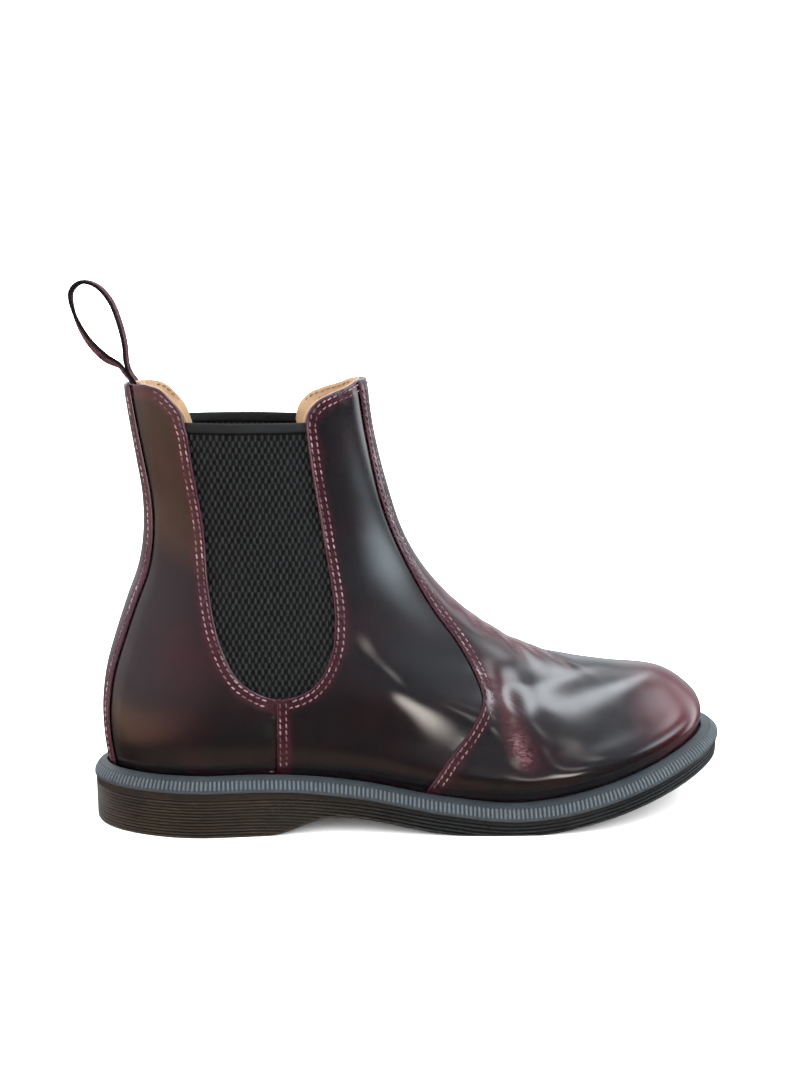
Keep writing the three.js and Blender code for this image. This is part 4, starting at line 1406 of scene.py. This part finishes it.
def pull_loop():
    path = loop_path()
    length = running_length(path)
    run = unit(np.gradient(path, axis=0))
    out = np.stack([run[:, 1], -run[:, 0]], -1)
    thick = lerp(TAIL_THICKNESS, WEBBING_THICKNESS, ease(189.5, 199, path[:, 1]))
    across = 47
    u = np.linspace(-1, 1, across)
    half = WEBBING_WIDTH / 2
    y = u * half
    edge = ease(0.86, 0.97, np.abs(u))
    selvedge = 1 - 0.45 * ease(0.94, 1.0, np.abs(u))
    yarn = 0.5 + 0.5 * np.cos(TURN * y / YARN_PITCH)
    weft = 0.5 + 0.5 * np.cos(TURN * length[:, None] / WEFT_PITCH + math.pi * np.round(y / YARN_PITCH)[None])
    relief = YARN_RELIEF * (yarn[None] * (0.5 + 0.5 * weft)) * (1 - edge)[None]
    free = ease(188, 200, path[:, 1])
    curved = 2.2 * (u**2)[None] * (1 - free)[:, None]
    lean = LOOP_TWIST * ease(0.45, 0.75, length / length[-1]) * (1 - ease(0.8, 0.98, length / length[-1]))
    flop = (lean * free)[:, None] * y[None]
    half_thick = thick[:, None] / 2 * selvedge[None] - YARN_RELIEF * free[:, None] + relief * free[:, None]
    skins = []
    for sign in (1, -1):
        shift = sign * half_thick + flop
        x = path[:, 0:1] + out[:, 0:1] * shift + curved
        z = path[:, 1:2] + out[:, 1:2] * shift
        skins.append(np.stack([x, np.broadcast_to(y, x.shape), z], -1).reshape(-1, 3))
    rows = len(path)
    points = np.concatenate(skins)
    count = rows * across
    faces = grid_faces(rows, across, 0).tolist()
    faces += grid_faces(rows, across, count, flip=True).tolist()
    faces += walls(grid_rim(rows, across), count)
    # the yarns' relief, which the webbing's colour uses to paint shade between the raised yarns
    tone = np.concatenate([(relief / YARN_RELIEF).ravel()] * 2)
    edges = np.concatenate([np.broadcast_to(edge, (rows, across)).ravel()] * 2)
    piece = make_mesh("pull_loop", points, faces, {"tone": tone, "edge": edges})
    piece.data.materials.append(WEBBING)
    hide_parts("pull_loop", "loop_anchor")
    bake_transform(piece)


pull_loop()


# ------------------------------------------------------------------ stage, light and camera
def backdrop():
    """A white floor that sweeps up into a dome; away from the boot it glows as much as it reflects."""
    flat = [(r, 0.0) for r in (0.0, 0.3, 0.6, 1.0, 1.5, 2.0, 2.5, 3.0)]
    sweep = [(3.0 + 3.0 * math.sin(a), 3.0 - 3.0 * math.cos(a)) for a in np.linspace(0, math.pi / 2, 13)[1:]]
    dome = [(6.0 * math.cos(a), 3.0 + 3.0 * math.sin(a)) for a in np.linspace(0, math.pi / 2, 13)[1:]]
    section = flat + sweep + dome
    columns = 96
    around = np.linspace(0, TURN, columns, endpoint=False)
    points = [(r * math.cos(a), r * math.sin(a), z) for r, z in section for a in around]
    mesh = bpy.data.meshes.new("backdrop")
    faces = grid_faces(len(section), columns, flip=True, ring=True).tolist()
    mesh.from_pydata(points, [], faces)
    mesh.polygons.foreach_set("use_smooth", [True] * len(mesh.polygons))
    piece = bpy.data.objects.new("backdrop", mesh)
    bpy.context.scene.collection.objects.link(piece)
    n = Nodes("backdrop_paper")
    far = n.add("ShaderNodeVectorMath", {"Vector": n.place()}, operation="LENGTH").outputs["Value"]
    grain = n.noise(n.place(), 900.0, 2.0)
    n.set(Base_Color=n.mix(n.ramp(grain, 0.3, 0.7), (0.86, 0.86, 0.86, 1), (0.9, 0.9, 0.9, 1)), Roughness=0.9)
    glow = n.ramp(far, 0.3, 1.8, 0.0, 0.97)
    n.set(Specular_IOR_Level=0.0, Emission_Color=(1, 1, 1, 1), Emission_Strength=glow)
    n.material.cycles.emission_sampling = "NONE"
    mesh.materials.append(n.material)
    piece.visible_glossy = False
    piece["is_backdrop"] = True


backdrop()


def heading(azimuth, elevation):
    """Direction of an azimuth, from the front (-Y) towards the toe (+X), and an elevation in degrees."""
    a, e = math.radians(azimuth), math.radians(elevation)
    return Vector((math.sin(a) * math.cos(e), -math.cos(a) * math.cos(e), math.sin(e)))


# Soft patches of the room that the gloss mirrors: azimuth, elevation, half width and half height in
# degrees, softness, colour, strength
ROOM_PATCHES = [
    (102, 34, 58, 34, 0.45, (0.84, 0.93, 1.0), 0.34),
    (72, 15, 13, 10, 0.8, (0.78, 0.93, 1.0), 3.2),
    (80, 60, 22, 5, 0.6, (0.9, 0.95, 1.0), 6.0),
    (86, 43, 7, 5, 0.8, (0.95, 0.96, 1.0), 2.5),
    (33, 41, 4, 4, 0.8, (1.0, 0.96, 0.9), 1.5),
    (126, 50, 12, 7, 0.8, (0.95, 0.96, 1.0), 1.4),
    (106, 6, 8, 30, 0.8, (0.9, 0.95, 1.0), 2.2),
    (15, -4, 6.5, 6.5, 0.8, (1.0, 0.94, 0.85), 8.0),
    (20, 22, 4, 4, 0.8, (1.0, 0.94, 0.85), 2.0),
    (-75, -15, 36, 9, 0.7, (1.0, 0.55, 0.33), 0.8),
    (-80, 6, 60, 16, 0.7, (0.9, 0.8, 0.84), 0.45),
    (-15, -45, 42, 13, 0.8, (1.0, 0.72, 0.5), 0.22),
    (180, 30, 50, 30, 0.8, (0.9, 0.95, 1.0), 0.8),
    (-140, 30, 40, 20, 0.8, (1.0, 0.96, 0.9), 0.7),
]
ROOM_LEVELS = [  # position from straight down to straight up, colour
    (0.0, (0.03, 0.02, 0.015)), (0.3, (0.07, 0.045, 0.03)), (0.46, (0.03, 0.022, 0.02)),
    (0.52, (0.05, 0.05, 0.055)), (0.75, (0.16, 0.17, 0.19)), (1.0, (0.5, 0.52, 0.55)),
]


def room():
    """Reflections of a dim room with a few soft lights."""
    world = bpy.data.worlds.new("room")
    world.use_nodes = True
    world.cycles.sampling_method = "NONE"
    n = WorldNodes(world)
    direction = n.add("ShaderNodeTexCoord").outputs["Generated"]
    height = n.add("ShaderNodeSeparateXYZ", {"Vector": direction}).outputs["Z"]
    fade = n.add("ShaderNodeValToRGB", {"Fac": n.ramp(height, -1.0, 1.0, smooth=False)})
    while len(fade.color_ramp.elements) < len(ROOM_LEVELS):
        fade.color_ramp.elements.new(0.5)
    for element, (position, colour) in zip(fade.color_ramp.elements, ROOM_LEVELS):
        element.position = position
        element.color = (*colour, 1)
    total = fade.outputs["Color"]
    for azimuth, elevation, width, tall, soft, colour, strength in ROOM_PATCHES:
        axis = heading(azimuth, elevation)
        side = heading(azimuth + 90, 0)
        facing, across, upright = (n.dot(direction, vector) for vector in (axis, side, side.cross(axis)))
        across = n.math("DIVIDE", across, math.sin(math.radians(width)))
        upright = n.math("DIVIDE", upright, math.sin(math.radians(tall)))
        squares = [n.math("POWER", n.math("ABSOLUTE", part), 2.0) for part in (across, upright)]
        far = n.math("SQRT", n.math("ADD", *squares))
        ahead = n.math("GREATER_THAN", facing, 0.0)
        patch = n.math("MULTIPLY", n.ramp(far, 1 - soft, 1 + soft, 1.0, 0.0), ahead)
        tint = tuple(c * strength for c in colour)
        total = n.mix(patch, total, n.mix(1.0, total, (*tint, 1), "ADD"))
    n.put(world.node_tree.nodes["Background"].inputs["Color"], total)
    bpy.context.scene.world = world


room()


def area_light(name, position, target, size, power, colour=(1, 1, 1)):
    data = bpy.data.lights.new(name, "AREA")
    data.shape = "RECTANGLE"
    data.size, data.size_y = size
    data.energy = power
    data.color = colour
    lamp = bpy.data.objects.new(name, data)
    bpy.context.scene.collection.objects.link(lamp)
    lamp.location = position
    direction = Vector(target) - Vector(position)
    lamp.rotation_euler = direction.to_track_quat("-Z", "Y").to_euler()
    lamp.visible_glossy = False


area_light("window", (0.9, -1.5, 1.1), (0.05, 0, 0.08), (0.9, 0.7), 4.5, (0.95, 0.98, 1.0))
area_light("ceiling", (0.3, -0.1, 1.9), (0.05, 0, 0.05), (1.4, 1.2), 7)
area_light("side_fill", (-1.6, -0.9, 0.9), (0, 0, 0.1), (0.8, 0.9), 2, (1.0, 0.93, 0.86))
area_light("back_fill", (0.2, 1.7, 1.0), (0.05, 0, 0.1), (1.2, 0.9), 3)

CAMERA_PLACE = (0.015864, -0.6194, 0.229276)
CAMERA_YAW = 0.132
CAMERA_PITCH = 0.174
CAMERA_ROLL = 0.004
FOCAL_PIXELS = 1449.161
SENSOR = 36.0
PICTURE_HEIGHT = 1080

camera_data = bpy.data.cameras.new("camera")
camera_data.sensor_width = SENSOR
camera_data.lens = FOCAL_PIXELS * SENSOR / PICTURE_HEIGHT
camera_data.clip_start = 0.01
camera = bpy.data.objects.new("camera", camera_data)
bpy.context.scene.collection.objects.link(camera)
forward = Vector((math.sin(CAMERA_YAW) * math.cos(CAMERA_PITCH),
                  math.cos(CAMERA_YAW) * math.cos(CAMERA_PITCH), -math.sin(CAMERA_PITCH)))
level_right = Vector((math.cos(CAMERA_YAW), -math.sin(CAMERA_YAW), 0))
level_up = level_right.cross(forward)
right = math.cos(CAMERA_ROLL) * level_right + math.sin(CAMERA_ROLL) * level_up
up = right.cross(forward)
camera.matrix_world = Matrix.Translation(CAMERA_PLACE) @ Matrix((right, up, -forward)).transposed().to_4x4()
bpy.context.scene.camera = camera
bpy.context.scene.view_settings.view_transform = "Standard"

sizes = {"cad": CAD_BOX, "visual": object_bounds()}
{key: [[float(c) for c in corner] for corner in box] for key, box in sizes.items()}
